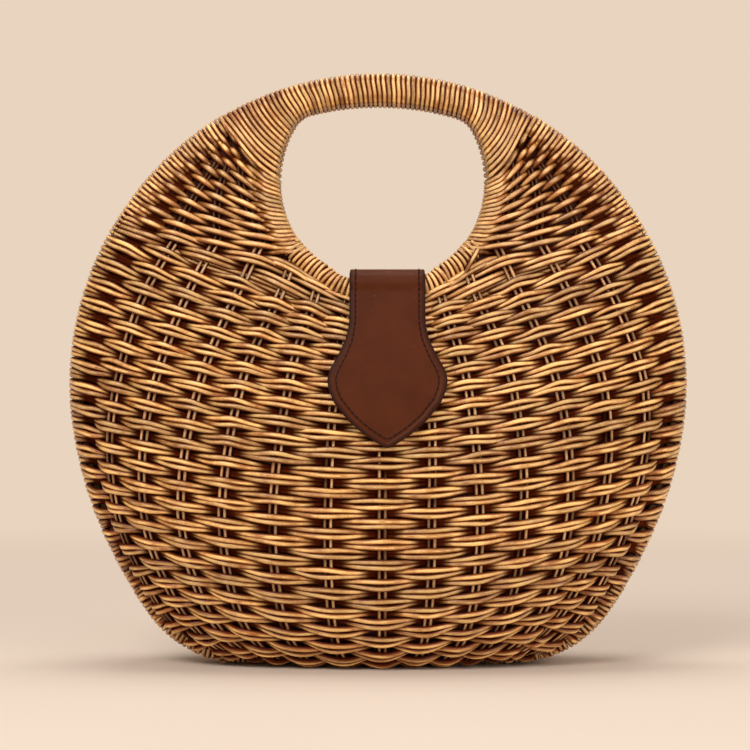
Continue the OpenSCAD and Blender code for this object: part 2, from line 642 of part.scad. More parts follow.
// Two rivets hold the tab to the back of the basket
rivet_z = bend_z - 0.68 * tab_h;
rivet_x = strap_shift + stake_w / 2 + shank_r + rivet_gap;
tab_seat = wall_t / 2 + strap_gap + strap_t;
module at_rivets(out) {
  back_of() for (side = [-1, 1])
    on_wall(strap_shift + side * rivet_x, rivet_z, out) children();
}
module tab_rivets() {
  color(brass_colour) at_rivets(tab_seat) {
    cylinder(h = shank_r, r1 = rivet_r, r2 = rivet_r / 2, $fn = 32);
    translate([0, 0, -tab_seat - washer_seat - washer_t])
      cylinder(h = tab_seat + washer_seat + washer_t, r = shank_r, $fn = 24);
  }
}
module rivet_washers() {
  color(brass_colour) at_rivets(-washer_seat - washer_t) difference() {
    cylinder(h = washer_t, r = rivet_r, $fn = 32);
    translate([0, 0, -washer_t])
      cylinder(h = 3 * washer_t, r = shank_r + washer_t / 8, $fn = 24);
  }
}

woven_body();
front_stakes();
back_stakes();
front_rim_cane();
back_rim_cane();
front_ring_cane();
back_ring_cane();
front_ring_winding();
back_ring_winding();
lining();
catch_socket();
socket_washer();
strap_tab();
tab_rivets();
rivet_washers();
front_left_ear();
front_right_ear();
front_ear_stakes();
front_handle_cane();
front_hole_cane();
front_handle_winding();
back_left_ear();
back_right_ear();
back_ear_stakes();
back_handle_cane();
back_hole_cane();
back_handle_winding();
strap_leather();
strap_backing();
catch_stud();
stud_washer();
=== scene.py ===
# Round woven cane handbag: its weave, windings, strap and lining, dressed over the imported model.
# Shapes are worked out in millimetres from the bag's own sizes and turned to metres last.
import math

import bmesh
import bpy
import numpy as np
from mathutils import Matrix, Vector


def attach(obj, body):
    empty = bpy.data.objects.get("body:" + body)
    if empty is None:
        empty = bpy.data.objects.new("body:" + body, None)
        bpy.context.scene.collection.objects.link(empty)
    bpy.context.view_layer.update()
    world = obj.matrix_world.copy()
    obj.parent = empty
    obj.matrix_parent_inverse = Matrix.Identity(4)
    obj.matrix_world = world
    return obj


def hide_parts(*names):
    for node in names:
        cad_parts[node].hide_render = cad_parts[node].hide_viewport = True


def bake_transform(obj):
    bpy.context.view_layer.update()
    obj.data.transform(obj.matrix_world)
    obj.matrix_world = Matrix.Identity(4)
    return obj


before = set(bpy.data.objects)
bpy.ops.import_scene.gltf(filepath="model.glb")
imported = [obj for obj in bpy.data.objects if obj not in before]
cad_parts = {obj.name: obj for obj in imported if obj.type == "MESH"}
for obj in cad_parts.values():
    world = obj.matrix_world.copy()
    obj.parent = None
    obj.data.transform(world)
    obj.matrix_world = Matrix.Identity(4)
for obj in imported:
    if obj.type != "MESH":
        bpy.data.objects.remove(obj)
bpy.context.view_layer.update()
MM = 0.001

# The photograph's view: level, at 1.2 m, a little left of the middle
camera = bpy.data.objects.new("camera", bpy.data.cameras.new("camera"))
camera.location = (-0.0016, -1.2, 0.149)
camera.rotation_euler = (math.radians(90), 0, 0)
camera.data.sensor_width = 36
camera.data.lens = 111.2
bpy.context.collection.objects.link(camera)
bpy.context.scene.camera = camera

# The bag's own sizes, as in the part's source
BAG_H, BAG_R, FLANK_R, CORNER_R = 305.0, 160.0, 225.0, 60.0
BELLY_Y, BELLY_Z, BASE_Y, BASE_SHARE, KEEL_R = 50.0, 100.0, 22.0, 3.5, 240.0
WALL_T, CANE_R, STRAND_R, MEET_GAP = 5.0, 3.0, 1.2, 0.6
HOLE_R, HOLE_Z, HOLE_SHIFT, HOLE_CORNER_R, HANDLE_H = 52.8, 249.8, 2.4, 13.0, 17.2
SPLIT_Z, WALL_TOP, EAR_LOW = 218.0, 217.6, 218.4
ROUND_Z = BAG_H - BAG_R
FLANK_START = math.radians(10)
FLANK_X = (BAG_R - FLANK_R) * math.cos(FLANK_START)
FLANK_Z = ROUND_Z + (FLANK_R - BAG_R) * math.sin(FLANK_START)
CORNER_X = FLANK_X + math.sqrt((FLANK_R - CORNER_R) ** 2 - (CORNER_R - FLANK_Z) ** 2)
CORNER_ANGLE = math.atan2(FLANK_Z - CORNER_R, CORNER_X - FLANK_X)
FLANK_TOP = ROUND_Z - BAG_R * math.sin(FLANK_START)
FLANK_FOOT = FLANK_Z - FLANK_R * math.sin(CORNER_ANGLE)
COVER = 2.1 * STRAND_R
RIM_Y = CANE_R + COVER + MEET_GAP / 2
BAR_R = BAG_R - COVER - CANE_R
RING_OFF = COVER + CANE_R
RING_R = HOLE_R + RING_OFF
HOLE_TOP = ROUND_Z + BAG_R - HANDLE_H
FOOT_SHARE = 1 - (1 - (BASE_Y / BELLY_Y) ** BASE_SHARE) ** (1 / BASE_SHARE)
FOOT_Z = (WALL_T / 2 - FOOT_SHARE * BELLY_Z) / (1 - FOOT_SHARE)
# How sharply the section draws in to the handle and ends in the rim, and the keel's share
TAPER, RIM_POWER, LEAST_HALF_W, KEEL_SHARE = 1.25, 16, 2.4, 1.6
WRAP_R = CANE_R + STRAND_R
FRONT = np.array([0, -1.0, 0])
TO_BACK = np.array([1, -1, 1])
HALVES = (("front", 1), ("back", -1))


def smooth(t):
    t = np.clip(t, 0, 1)
    return t * t * (3 - 2 * t)


def unit(a):
    return a / np.maximum(1e-9, np.linalg.norm(a, axis=-1, keepdims=True))


def run_of(points):
    """Length along a line up to each of its points."""
    return np.concatenate([[0], np.cumsum(np.linalg.norm(np.diff(points, axis=0), axis=1))])


def sample(s, run, table):
    """What the columns of a table are at lengths s along its line."""
    return np.stack([np.interp(s, run, column) for column in np.transpose(table)], -1)


def half_w(z, inset=WALL_T / 2):
    """Half the bag's width at a height, up to a line set in from its outline."""
    z = np.asarray(z, float)
    top = np.sqrt(np.maximum(0, (BAG_R - inset) ** 2 - (z - ROUND_Z) ** 2))
    flank = FLANK_X + np.sqrt(np.maximum(0, (FLANK_R - inset) ** 2 - (z - FLANK_Z) ** 2))
    corner = CORNER_X + np.sqrt(np.maximum(0, (CORNER_R - inset) ** 2 - (CORNER_R - z) ** 2))
    return np.where(z > FLANK_TOP, top, np.where(z > FLANK_FOOT, flank, corner))


def depth(z):
    """How far the wall's middle stands in front of the middle plane, on the axis."""
    z = np.asarray(z, float)
    up = np.clip((z - FOOT_Z) / (BELLY_Z - FOOT_Z), 0, 1)
    low = BELLY_Y * (1 - (1 - up) ** BASE_SHARE) ** (1 / BASE_SHARE)
    down = np.clip((z - BELLY_Z) / (HOLE_TOP - BELLY_Z), 0, 1)
    return np.where(z < BELLY_Z, low, RIM_Y + (BELLY_Y - RIM_Y) * (1 - down ** TAPER))


def wall_y(x, z):
    """The same at any x: an ellipse that ends in a narrow, steep rim."""
    s = np.minimum(1, np.abs(x) / np.maximum(LEAST_HALF_W, half_w(z)))
    return RIM_Y * np.sqrt(1 - s ** RIM_POWER) + (depth(z) - RIM_Y) * np.sqrt(1 - s * s)


def keel(x, z):
    """How far the base rises towards its sides."""
    lift = KEEL_R - np.sqrt(KEEL_R ** 2 - np.asarray(x) ** 2)
    fade = (1 - np.minimum(z, BELLY_Z) / BELLY_Z) ** 2
    rise = lift * (depth(z) / BELLY_Y) ** 2 * fade * KEEL_SHARE
    return np.where(z > BELLY_Z, 0, rise)


# Height at each length along the middle section of the wall, from the middle of the base
FLOOR_MID = 3.65
section_z = np.concatenate([np.linspace(FLOOR_MID, 30, 400), np.linspace(30.1, 300, 900)])
section_y = depth(section_z)
BASE_V = float(section_y[0])
section_v = BASE_V + run_of(np.stack([section_z, section_y], -1))


def z_of(v):
    return np.interp(v, np.append(0, section_v), np.append(FLOOR_MID, section_z))


def v_of(z):
    return float(np.interp(z, section_z, section_v))


def shell(tau, v):
    """Middle of the woven wall of the front half: tau runs from rim to rim, v up the section."""
    z = z_of(v)
    k = np.clip(v / BASE_V, 0, 1)
    x = half_w(z) * np.sin(tau)
    return np.stack([x, -wall_y(x, z) * k, z + keel(x, z) * np.cos(tau)], -1)


def shell_out(tau, v):
    """Outward direction of the wall."""
    a = shell(tau + 0.01, v) - shell(tau - 0.01, v)
    b = shell(tau, v + 1.5) - shell(tau, v - 1.5)
    edge = np.abs(np.cos(tau)) < 0.02
    a = np.where(edge[..., None], -FRONT * np.sign(np.sin(tau))[..., None], a)
    return unit(np.cross(a, b))


def on_shell(tau, v, n):
    """Points at a distance n outside the wall's middle, and their outward directions."""
    out = shell_out(tau, v)
    return shell(tau, v) + np.reshape(n, (-1, 1)) * out, out


# Hand weaving: how far each column, from -6 to 6, has wandered in mm, at three heights
DRIFT_LOW_Z, DRIFT_MID_Z, DRIFT_TOP_Z = 79, 146, 196
DRIFT_LOW = [1, 1.5, 2, 0.5, 1, 2, 2, -0.5, -3, -6, -5, -7, -5]
DRIFT_MID = [0, 2, 4.5, 3, 3, 2, 2, 2.5, -3, -4, -4, -1, 3]
DRIFT_TOP = [-4, 1, 7, 9, 7, 4, 2, -4, -7, -9, -7, -1, 4]


def column_drift(c, z):
    places = [-8] + list(range(-6, 7)) + [8]
    low, mid, top = (np.interp(c, places, [0] + drift + [0])
                     for drift in (DRIFT_LOW, DRIFT_MID, DRIFT_TOP))
    drift = low + (mid - low) * np.clip((z - DRIFT_LOW_Z) / (DRIFT_MID_Z - DRIFT_LOW_Z), 0, 1)
    return drift + (top - drift) * smooth((z - DRIFT_MID_Z) / (DRIFT_TOP_Z - DRIFT_MID_Z))


# Of the 90 degrees from the middle to the rim, six columns a side take up so many at the base,
# 45 fewer at the notches, and there 9.8 more by standing wider apart outwards. The seventh comes
# at this share of what is left
SIX_AT_BASE, FEWER_UP, WIDER_UP, SEVENTH = 80.4, 45, 9.8, 0.36


def even_tau(c, z):
    """Angle across the wall of column c, before it wanders."""
    a = np.abs(c)
    up = np.minimum(z, SPLIT_Z) / SPLIT_Z

    def inner(u):
        return u * (SIX_AT_BASE - FEWER_UP * up) + u * u * WIDER_UP * up
    six = inner(1.0)
    seven = six + SEVENTH * (90 - six)
    t = np.where(a <= 6, inner(np.minimum(a, 6) / 6),
                 np.where(a <= 7, six + (a - 6) * (seven - six), seven + (a - 7) * (90 - seven)))
    return np.sign(c) * np.radians(np.minimum(t, 90))


def column_tau(c, z):
    """Angle across the wall of column c: the stakes fan out from the hand hole."""
    tau = even_tau(c, z)
    room = half_w(z) * np.maximum(0.3, np.cos(tau))
    return np.clip(tau + column_drift(c, z) / room, -math.pi / 2, math.pi / 2)


def column_x(c, z):
    return half_w(z) * np.sin(column_tau(np.full_like(z, c), z))


# The ears' own stakes, 4 to 6, stand between the cane of the hole and the cane of the rim
EAR_MARGIN = CANE_R + 2.5
EAR_STAKE_LOW, APEX_Z = EAR_LOW + 2.4, HOLE_Z + 6.2
MIDDLE_SHARE, SHARE_STEP = 0.308, 0.183


def ear_inner(z):
    return HOLE_SHIFT + np.sqrt(np.maximum(0, RING_R ** 2 - (z - HOLE_Z) ** 2)) + EAR_MARGIN


def ear_outer(z):
    return np.sqrt(BAR_R ** 2 - (z - ROUND_Z) ** 2) - EAR_MARGIN


def ear_stake_x(c, z):
    z0 = EAR_STAKE_LOW
    x0 = float(half_w(SPLIT_Z) * np.sin(column_tau(np.array(float(c)), SPLIT_Z)))
    low_share = (x0 - ear_inner(z0)) / (ear_outer(z0) - ear_inner(z0))
    top_share = MIDDLE_SHARE + (c - 5) * SHARE_STEP
    q = np.clip((z - z0) / (APEX_Z - z0), 0, 1)
    share = low_share + (top_share - low_share) * q ** 1.2
    return ear_inner(z) + share * (ear_outer(z) - ear_inner(z))


def column_at(x, z):
    """Column number, 0 in the middle to 8 at the rim, of a place on the front."""
    x, z = np.abs(x), np.asarray(z, float)
    low = [column_x(c, z) for c in range(9)]
    inner, rim = ear_inner(z), half_w(z)
    four, five, six = (ear_stake_x(c, z) for c in (4, 5, 6))
    high = [inner * 0, inner * 0.5, inner * 0.8, inner - 6.5, four, five, six,
            six + 0.42 * (rim - six), rim]
    lines = [np.where(z > EAR_LOW, h, lo) for lo, h in zip(low, high)]
    return sum(np.clip((x - a) / np.maximum(0.5, b - a), 0, 1) for a, b in zip(lines, lines[1:]))


class Strands:
    """The strands of one piece. Each has its points, the outward direction, how deep it lies
    (0 buried, 1 on top), its tint, the length along its cane, and its girth. The outward
    direction and the depth give the cane's colour its painted highlight and painted shade."""

    def __init__(self):
        self.rng = np.random.default_rng(11)
        self.data = {"co": [], "out_way": [], "on_top": [], "tint": [], "along": [], "girth": []}
        self.edges, self.count = [], 0

    def add(self, pts, out, top, closed=False, girth=1.0, signs=(1, 1, 1)):
        """Adds a strand, mirrored by the signs."""
        pts = np.asarray(pts, float) * signs
        m = len(pts)
        tint = self.rng.random()
        girth = girth * (0.96 + 0.08 * self.rng.random())
        rows = {"co": pts, "out_way": np.broadcast_to(out, (m, 3)) * signs,
                "on_top": np.broadcast_to(top, (m,)), "tint": np.full(m, tint),
                "along": run_of(pts) + 500 * self.rng.random(),
                "girth": np.broadcast_to(girth, (m,))}
        for key, values in rows.items():
            self.data[key].append(values)
        first = np.arange(m if closed else m - 1)
        self.edges.append(np.stack([first, (first + 1) % m], -1) + self.count)
        self.count += m

    def paths(self, name):
        """A mesh of the strands' lines, with attributes for the tree and the materials."""
        data = {key: np.concatenate(values) for key, values in self.data.items()}
        edges = np.concatenate(self.edges)
        co = data.pop("co")
        co[:, 2] = np.maximum(co[:, 2], STRAND_R + 0.05)
        mesh = bpy.data.meshes.new(name)
        mesh.vertices.add(len(co))
        mesh.vertices.foreach_set("co", (co * MM).ravel())
        mesh.edges.add(len(edges))
        mesh.edges.foreach_set("vertices", edges.ravel())
        for key, values in data.items():
            kind, field = ("FLOAT_VECTOR", "vector") if values.ndim == 2 else ("FLOAT", "value")
            attribute = mesh.attributes.new(key, kind, "POINT")
            attribute.data.foreach_set(field, values.astype(np.float32).ravel())
        mesh.update()
        return mesh


def linear(code):
    """Linear colour of an sRGB hex value."""
    parts = [int(code[i:i + 2], 16) / 255 for i in (1, 3, 5)]
    return tuple(c / 12.92 if c <= 0.04045 else ((c + 0.055) / 1.055) ** 2.4
                 for c in parts) + (1.0,)


def feed(tree, node, inputs):
    """Feeds inputs of a node, by name or number, from a socket, a node's first output or a
    constant."""
    for key, value in inputs.items():
        if isinstance(value, bpy.types.Node):
            value = value.outputs[0]
        if isinstance(value, bpy.types.NodeSocket):
            tree.links.new(value, node.inputs[key])
        else:
            node.inputs[key].default_value = value


def add_node(tree, kind, inputs=None, stops=(), ease="LINEAR", **settings):
    """Adds a node with its properties, a ramp's stops, as hex colours or greys, and its inputs."""
    node = tree.nodes.new(kind)
    for key, value in settings.items():
        setattr(node, key, value)
    if stops:
        node.color_ramp.interpolation = ease
        elements = node.color_ramp.elements
        while len(elements) < len(stops):
            elements.new(0.5)
        for element, (place, colour) in zip(elements, stops):
            element.position = place
            element.color = linear(colour) if isinstance(colour, str) else (colour,) * 3 + (1.0,)
    feed(tree, node, inputs or {})
    return node


def new_group(name, inputs, output):
    """A geometry tree with named inputs, of the kinds given, and one output."""
    tree = bpy.data.node_groups.new(name, "GeometryNodeTree")
    for label, kind in inputs.items():
        tree.interface.new_socket(label, in_out="INPUT", socket_type="NodeSocket" + kind)
    tree.interface.new_socket(output, in_out="OUTPUT", socket_type="NodeSocketGeometry")
    return tree, add_node(tree, "NodeGroupInput").outputs


def end_group(tree, shape, finish, output):
    """Realizes a shape, shades it smooth, gives it its material and sends it out."""
    whole = add_node(tree, "GeometryNodeRealizeInstances", {"Geometry": shape})
    soft = add_node(tree, "GeometryNodeSetShadeSmooth", {"Geometry": whole})
    done = add_node(tree, "GeometryNodeSetMaterial", {"Geometry": soft, "Material": finish})
    add_node(tree, "NodeGroupOutput", {output: done})
    return tree


def strand_tree():
    """Turns paths into round strands with closed ends."""
    tree, given = new_group("strands_along_paths",
                            {"Paths": "Geometry", "Strand radius": "Float", "Sides": "Int",
                             "Finish": "Material"}, "Strands")
    curve = add_node(tree, "GeometryNodeMeshToCurve", {"Mesh": given["Paths"]})
    profile = add_node(tree, "GeometryNodeCurvePrimitiveCircle",
                       {"Resolution": given["Sides"], "Radius": given["Strand radius"]})
    girth = add_node(tree, "GeometryNodeInputNamedAttribute", {"Name": "girth"},
                     data_type="FLOAT")
    tube = add_node(tree, "GeometryNodeCurveToMesh",
                    {"Curve": curve, "Profile Curve": profile,
                     "Scale": girth.outputs["Attribute"], "Fill Caps": True})
    return end_group(tree, tube, given["Finish"], "Strands")


def stitch_tree():
    """Lays short rounded threads along a path, a stitch length apart."""
    tree, given = new_group("stitches_along_path",
                            {"Path": "Geometry", "Stitch pitch": "Float",
                             "Thread radius": "Float", "Finish": "Material"}, "Stitches")
    curve = add_node(tree, "GeometryNodeMeshToCurve", {"Mesh": given["Path"]})
    points = add_node(tree, "GeometryNodeCurveToPoints",
                      {"Curve": curve, "Length": given["Stitch pitch"]}, mode="LENGTH")
    ball = add_node(tree, "GeometryNodeMeshUVSphere",
                    {"Segments": 6, "Rings": 5, "Radius": given["Thread radius"]})
    stitch = add_node(tree, "GeometryNodeTransform", {"Geometry": ball, "Scale": (1.0, 1.0, 3.6)})
    laid = add_node(tree, "GeometryNodeInstanceOnPoints",
                    {"Points": points, "Instance": stitch,
                     "Rotation": points.outputs["Rotation"]})
    return end_group(tree, laid, given["Finish"], "Stitches")


STRAND_TREE, STITCH_TREE = strand_tree(), stitch_tree()


def made(name, mesh, tree=None, values=None):
    """An object from a mesh, or from what a tree makes of it, as a plain mesh at the origin."""
    obj = bpy.data.objects.new(name, mesh)
    bpy.context.collection.objects.link(obj)
    if tree is None:
        return obj
    mod = obj.modifiers.new("shape", "NODES")
    mod.node_group = tree
    for item in tree.interface.items_tree:
        if item.item_type == "SOCKET" and item.in_out == "INPUT" and item.name in values:
            mod[item.identifier] = values[item.name]
    bpy.context.view_layer.update()
    got = bpy.data.meshes.new_from_object(obj.evaluated_get(bpy.context.evaluated_depsgraph_get()))
    obj.modifiers.remove(mod)
    obj.data = got
    got.name = name
    bpy.data.meshes.remove(mesh)
    return obj


def solid(name, verts, faces, material):
    mesh = bpy.data.meshes.new(name)
    mesh.from_pydata([tuple(p) for p in np.asarray(verts) * MM], [], faces)
    mesh.polygons.foreach_set("use_smooth", [True] * len(mesh.polygons))
    mesh.materials.append(material)
    mesh.update()
    return made(name, mesh)


def new_material(name):
    """A node material: itself, its tree, its shader and the node of its coordinates."""
    material = bpy.data.materials.new(name)
    material.use_nodes = True
    tree = material.node_tree
    tree.nodes.clear()
    shader = add_node(tree, "ShaderNodeBsdfPrincipled")
    add_node(tree, "ShaderNodeOutputMaterial", {"Surface": shader})
    return material, tree, shader, add_node(tree, "ShaderNodeTexCoord")


# Weaving cane, split rattan core, dyed with a dark antique stain that was wiped off the crowns
# and lacquered. Over the stain its colour holds painted light: a painted highlight on the golden
# crests, painted shade on the dark seams where strands meet and in the red-black where they dive
def cane_material(name, crest, middle, seam, deep, gloss):
    material, tree, shader, place = new_material(name)
    out, top, tint, along = (add_node(tree, "ShaderNodeAttribute", attribute_name=key)
                             for key in ("out_way", "on_top", "tint", "along"))
    facing = add_node(tree, "ShaderNodeVectorMath",
                      {0: place.outputs["Normal"], 1: out.outputs["Vector"]},
                      operation="DOT_PRODUCT").outputs["Value"]
    # Fibre streaks run along the strand: short across it, long along it
    line = add_node(tree, "ShaderNodeCombineXYZ",
                    {"X": along.outputs["Fac"], "Y": facing, "Z": tint.outputs["Fac"]})
    stretch = add_node(tree, "ShaderNodeMapping", {"Vector": line, "Scale": (0.09, 2.6, 37.0)})
    streak = add_node(tree, "ShaderNodeTexNoise",
                      {"Vector": stretch, "Scale": 1.0, "Detail": 5.0, "Roughness": 0.68})
    blotch = add_node(tree, "ShaderNodeMapping", {"Vector": line, "Scale": (0.035, 0.2, 61.0)})
    patch = add_node(tree, "ShaderNodeTexNoise", {"Vector": blotch, "Scale": 1.0})
    # Height on the strand, moved up and down by the streaks
    streaked = add_node(tree, "ShaderNodeMath", {0: streak, 1: 0.95, 2: facing},
                        operation="MULTIPLY_ADD")
    height = add_node(tree, "ShaderNodeMath", {0: streaked, 1: 0.64}, operation="MULTIPLY")
    # By how far the surface faces out: painted highlight on the crest, painted shade towards the
    # seams, there together with the stain
    body = add_node(tree, "ShaderNodeValToRGB", {"Fac": height},
                    [(0.46, deep), (0.62, seam), (0.80, middle), (0.97, crest)])
    # How far the strand has come up out of the weave: where it dives it is painted red-black,
    # stain and painted shade together
    risen = add_node(tree, "ShaderNodeValToRGB", {"Fac": top.outputs["Fac"]},
                     [(0.12, 0.0), (0.50, 1.0)], "EASE")
    mixed = add_node(tree, "ShaderNodeMix", {0: risen, 6: linear(deep), 7: body},
                     data_type="RGBA")
    # Each strand has its own depth of stain, and it changes slowly along it
    shade = add_node(tree, "ShaderNodeMath", {0: tint.outputs["Fac"], 1: patch}, operation="ADD")
    level = add_node(tree, "ShaderNodeMapRange",
                     {"Value": shade, "From Min": 0.3, "From Max": 1.7, "To Min": 0.62,
                      "To Max": 1.26})
    toned = add_node(tree, "ShaderNodeMix", {0: 1.0, 6: mixed.outputs[2], 7: level},
                     data_type="RGBA", blend_type="MULTIPLY")
    rough = add_node(tree, "ShaderNodeMapRange",
                     {"Value": streak, "To Min": gloss - 0.08, "To Max": gloss + 0.16})
    bump = add_node(tree, "ShaderNodeBump",
                    {"Height": streak, "Strength": 0.25, "Distance": 0.0003})
    # The wiped crowns shine; the hollows, dark with stain and painted shade, are dull
    shine = add_node(tree, "ShaderNodeMapRange",
                     {"Value": height, "From Min": 0.5, "From Max": 0.9, "To Min": 0.04,
                      "To Max": 0.5})
    shown = add_node(tree, "ShaderNodeMath", {0: shine, 1: risen}, operation="MULTIPLY")
    feed(tree, shader, {"Base Color": toned.outputs[2], "Roughness": rough, "Normal": bump,
                        "Specular IOR Level": shown, "Coat Weight": shown, "IOR": 1.48,
                        "Coat Roughness": 0.3})
    return material


# Each paints highlight and shade into its colour, together with the stain
weave_cane = cane_material("lacquered_rattan_weave_stain_and_painted_light",
                           "#ffcd7c", "#a56225", "#6a3212", "#5a210c", 0.38)
wound_cane = cane_material("lacquered_rattan_winding_stain_and_painted_light",
                           "#ffca80", "#a9692c", "#6c3515", "#5a230d", 0.38)
stake_cane = cane_material("lacquered_rattan_stakes_stain_and_painted_light",
                           "#eebb80", "#a86a36", "#52240f", "#34110a", 0.42)


# Plain rattan core under the windings: dry, dull, stained brown by what seeps through
def core_material():
    material, tree, shader, place = new_material("dry_rattan_core")
    fibre = add_node(tree, "ShaderNodeTexNoise",
                     {"Vector": place.outputs["Object"], "Scale": 900.0, "Detail": 4.0})
    colour = add_node(tree, "ShaderNodeValToRGB", {"Fac": fibre},
                      [(0.3, "#3a1f12"), (0.7, "#6e4526")])
    bump = add_node(tree, "ShaderNodeBump", {"Height": fibre, "Strength": 0.3, "Distance": 0.0002})
    feed(tree, shader, {"Base Color": colour, "Normal": bump, "Roughness": 0.7})
    return material


core_cane = core_material()


# Vegetable-tanned leather, smooth and waxed, with burnished dark edges: fine pores, soft
# cloudy colour, a shallow groove where the stitches pull it down, a few pale scuffs
def leather_material(name, light, dark, edge_colour, rough):
    material, tree, shader, place = new_material(name)
    here = place.outputs["Object"]
    # Distance from the edge, in centimetres
    edge = add_node(tree, "ShaderNodeAttribute", attribute_name="edge_cm").outputs["Fac"]
    cloud = add_node(tree, "ShaderNodeTexNoise",
                     {"Vector": here, "Scale": 55.0, "Detail": 4.0, "Roughness": 0.6})
    base = add_node(tree, "ShaderNodeValToRGB", {"Fac": cloud}, [(0.3, dark), (0.7, light)])
    scratch = add_node(tree, "ShaderNodeMapping",
                       {"Vector": here, "Rotation": (0.0, 0.6, 0.0),
                        "Scale": (210.0, 60.0, 1100.0)})
    mark = add_node(tree, "ShaderNodeTexNoise", {"Vector": scratch, "Scale": 1.0, "Detail": 2.0})
    marks = add_node(tree, "ShaderNodeValToRGB", {"Fac": mark}, [(0.70, 0.0), (0.82, 0.5)])
    scuffed = add_node(tree, "ShaderNodeMix", {0: marks, 6: base, 7: linear("#8a5b48")},
                       data_type="RGBA")
    burnish = add_node(tree, "ShaderNodeValToRGB", {"Fac": edge},
                       [(0.0, 1.0), (0.11, 0.75), (0.22, 0.0)])
    edged = add_node(tree, "ShaderNodeMix",
                     {0: burnish, 6: scuffed.outputs[2], 7: linear(edge_colour)},
                     data_type="RGBA")
    # Pores of calf leather, about 0.35 mm apart
    pores = add_node(tree, "ShaderNodeTexVoronoi", {"Vector": here, "Scale": 2600.0})
    groove = add_node(tree, "ShaderNodeValToRGB", {"Fac": edge},
                      [(0.20, 1.0), (0.29, 0.0), (0.38, 1.0)], "EASE")
    height = add_node(tree, "ShaderNodeMath", {0: pores, 1: 0.10, 2: groove},
                      operation="MULTIPLY_ADD")
    bump = add_node(tree, "ShaderNodeBump",
                    {"Height": height, "Strength": 0.55, "Distance": 0.0004})
    worn = add_node(tree, "ShaderNodeMapRange",
                    {"Value": cloud, "To Min": rough - 0.07, "To Max": rough + 0.1})
    feed(tree, shader, {"Base Color": edged.outputs[2], "Normal": bump, "Roughness": worn,
                        "IOR": 1.5, "Specular IOR Level": 0.12})
    return material


strap_hide = leather_material("waxed_calf_leather", "#552407", "#461b02", "#280e07", 0.46)
strap_split = leather_material("split_leather_backing", "#6a3c28", "#532c1c", "#3a1c12", 0.7)


# Waxed polyester thread, darker than the leather
def thread_material():
    material, tree, shader, place = new_material("waxed_polyester_thread")
    ply = add_node(tree, "ShaderNodeTexWave", {"Vector": place.outputs["Object"], "Scale": 700.0})
    colour = add_node(tree, "ShaderNodeValToRGB", {"Fac": ply.outputs["Fac"]},
                      [(0.2, "#120605"), (0.9, "#241009")])
    feed(tree, shader, {"Base Color": colour, "Roughness": 0.6, "Specular IOR Level": 0.15})
    return material


thread = thread_material()


# Plain-woven cotton lining, dyed dark red-brown, matt: its threads, 0.5 mm apart, are drawn
# 1 mm apart, as fine as shows
def cloth_material():
    material, tree, shader, place = new_material("dyed_plain_weave_cotton")
    warp, weft = (add_node(tree, "ShaderNodeTexWave",
                           {"Vector": place.outputs["Object"], "Scale": 320.0},
                           bands_direction=way).outputs["Fac"] for way in ("X", "Z"))
    both = add_node(tree, "ShaderNodeMath", {0: warp, 1: weft}, operation="MULTIPLY")
    colour = add_node(tree, "ShaderNodeValToRGB", {"Fac": both},
                      [(0.0, "#451a0c"), (1.0, "#66301c")])
    bump = add_node(tree, "ShaderNodeBump", {"Height": both, "Strength": 0.4, "Distance": 0.0002})
    feed(tree, shader, {"Base Color": colour, "Normal": bump, "Roughness": 0.9})
    return material


lining_cloth = cloth_material()


# Brass, aged: warm, satin, browner where it has tarnished
def brass_material():
    material, tree, shader, place = new_material("aged_satin_brass")
    age = add_node(tree, "ShaderNodeTexNoise",
                   {"Vector": place.outputs["Object"], "Scale": 260.0, "Detail": 5.0})
    colour = add_node(tree, "ShaderNodeValToRGB", {"Fac": age},
                      [(0.35, "#7d6235"), (0.65, "#b4935a")])
    rough = add_node(tree, "ShaderNodeValToRGB", {"Fac": age}, [(0.3, 0.5), (0.7, 0.3)])
    feed(tree, shader, {"Base Color": colour, "Roughness": rough, "Metallic": 1.0})
    return material


brass = brass_material()

rng = np.random.default_rng(5)


def waver(n, size, waves, closed=False):
    """A slow, smooth, seeded wander along a strand."""
    t = np.linspace(0, 2 * math.pi, n, endpoint=not closed)
    total = np.zeros(n)
    for k in range(1, waves + 1):
        a, b = rng.normal(size=2)
        total += (a * np.sin(k * t) + b * np.cos(k * t)) / math.sqrt(waves)
    return size * total


# How far a strand lies outside the wall's middle: over a stake or, negative, under one, and at
# the rim
AMP, RIM_N = 2.5, 1.2


def over_under(c, phase, amp):
    """Offset of a strand from the wall's middle: over a stake, under the next."""
    return amp * np.cos(math.pi * (c - phase))


# Rows of the basket: pairs of strands, over and under the stakes, round both halves. They lie
# level low down and climb towards the rim higher up: for some rows, numbered from a level one,
# the height in the middle, the rise at the rim and how sharply the row turns up
ROW_KEYS = [(-6, 25.5, 11, 3.0), (-3, 40, 13, 3.0), (0, 54.8, 20, 3.0), (5, 80, 22, 2.4),
            (10, 105, 23.5, 1.95), (17, 135, 32, 1.7), (24, 163.3, 39.6, 1.35),
            (28, 173.5, 50.5, 1.15)]
FIRST_ROW, LAST_ROW, ROW_STEP, LEVEL_MIDDLE = -14, 28, 4.9, 0.05
PER_COLUMN = 8
columns = np.linspace(-8, 8, 16 * PER_COLUMN + 1)
row_count = LAST_ROW - FIRST_ROW + 1


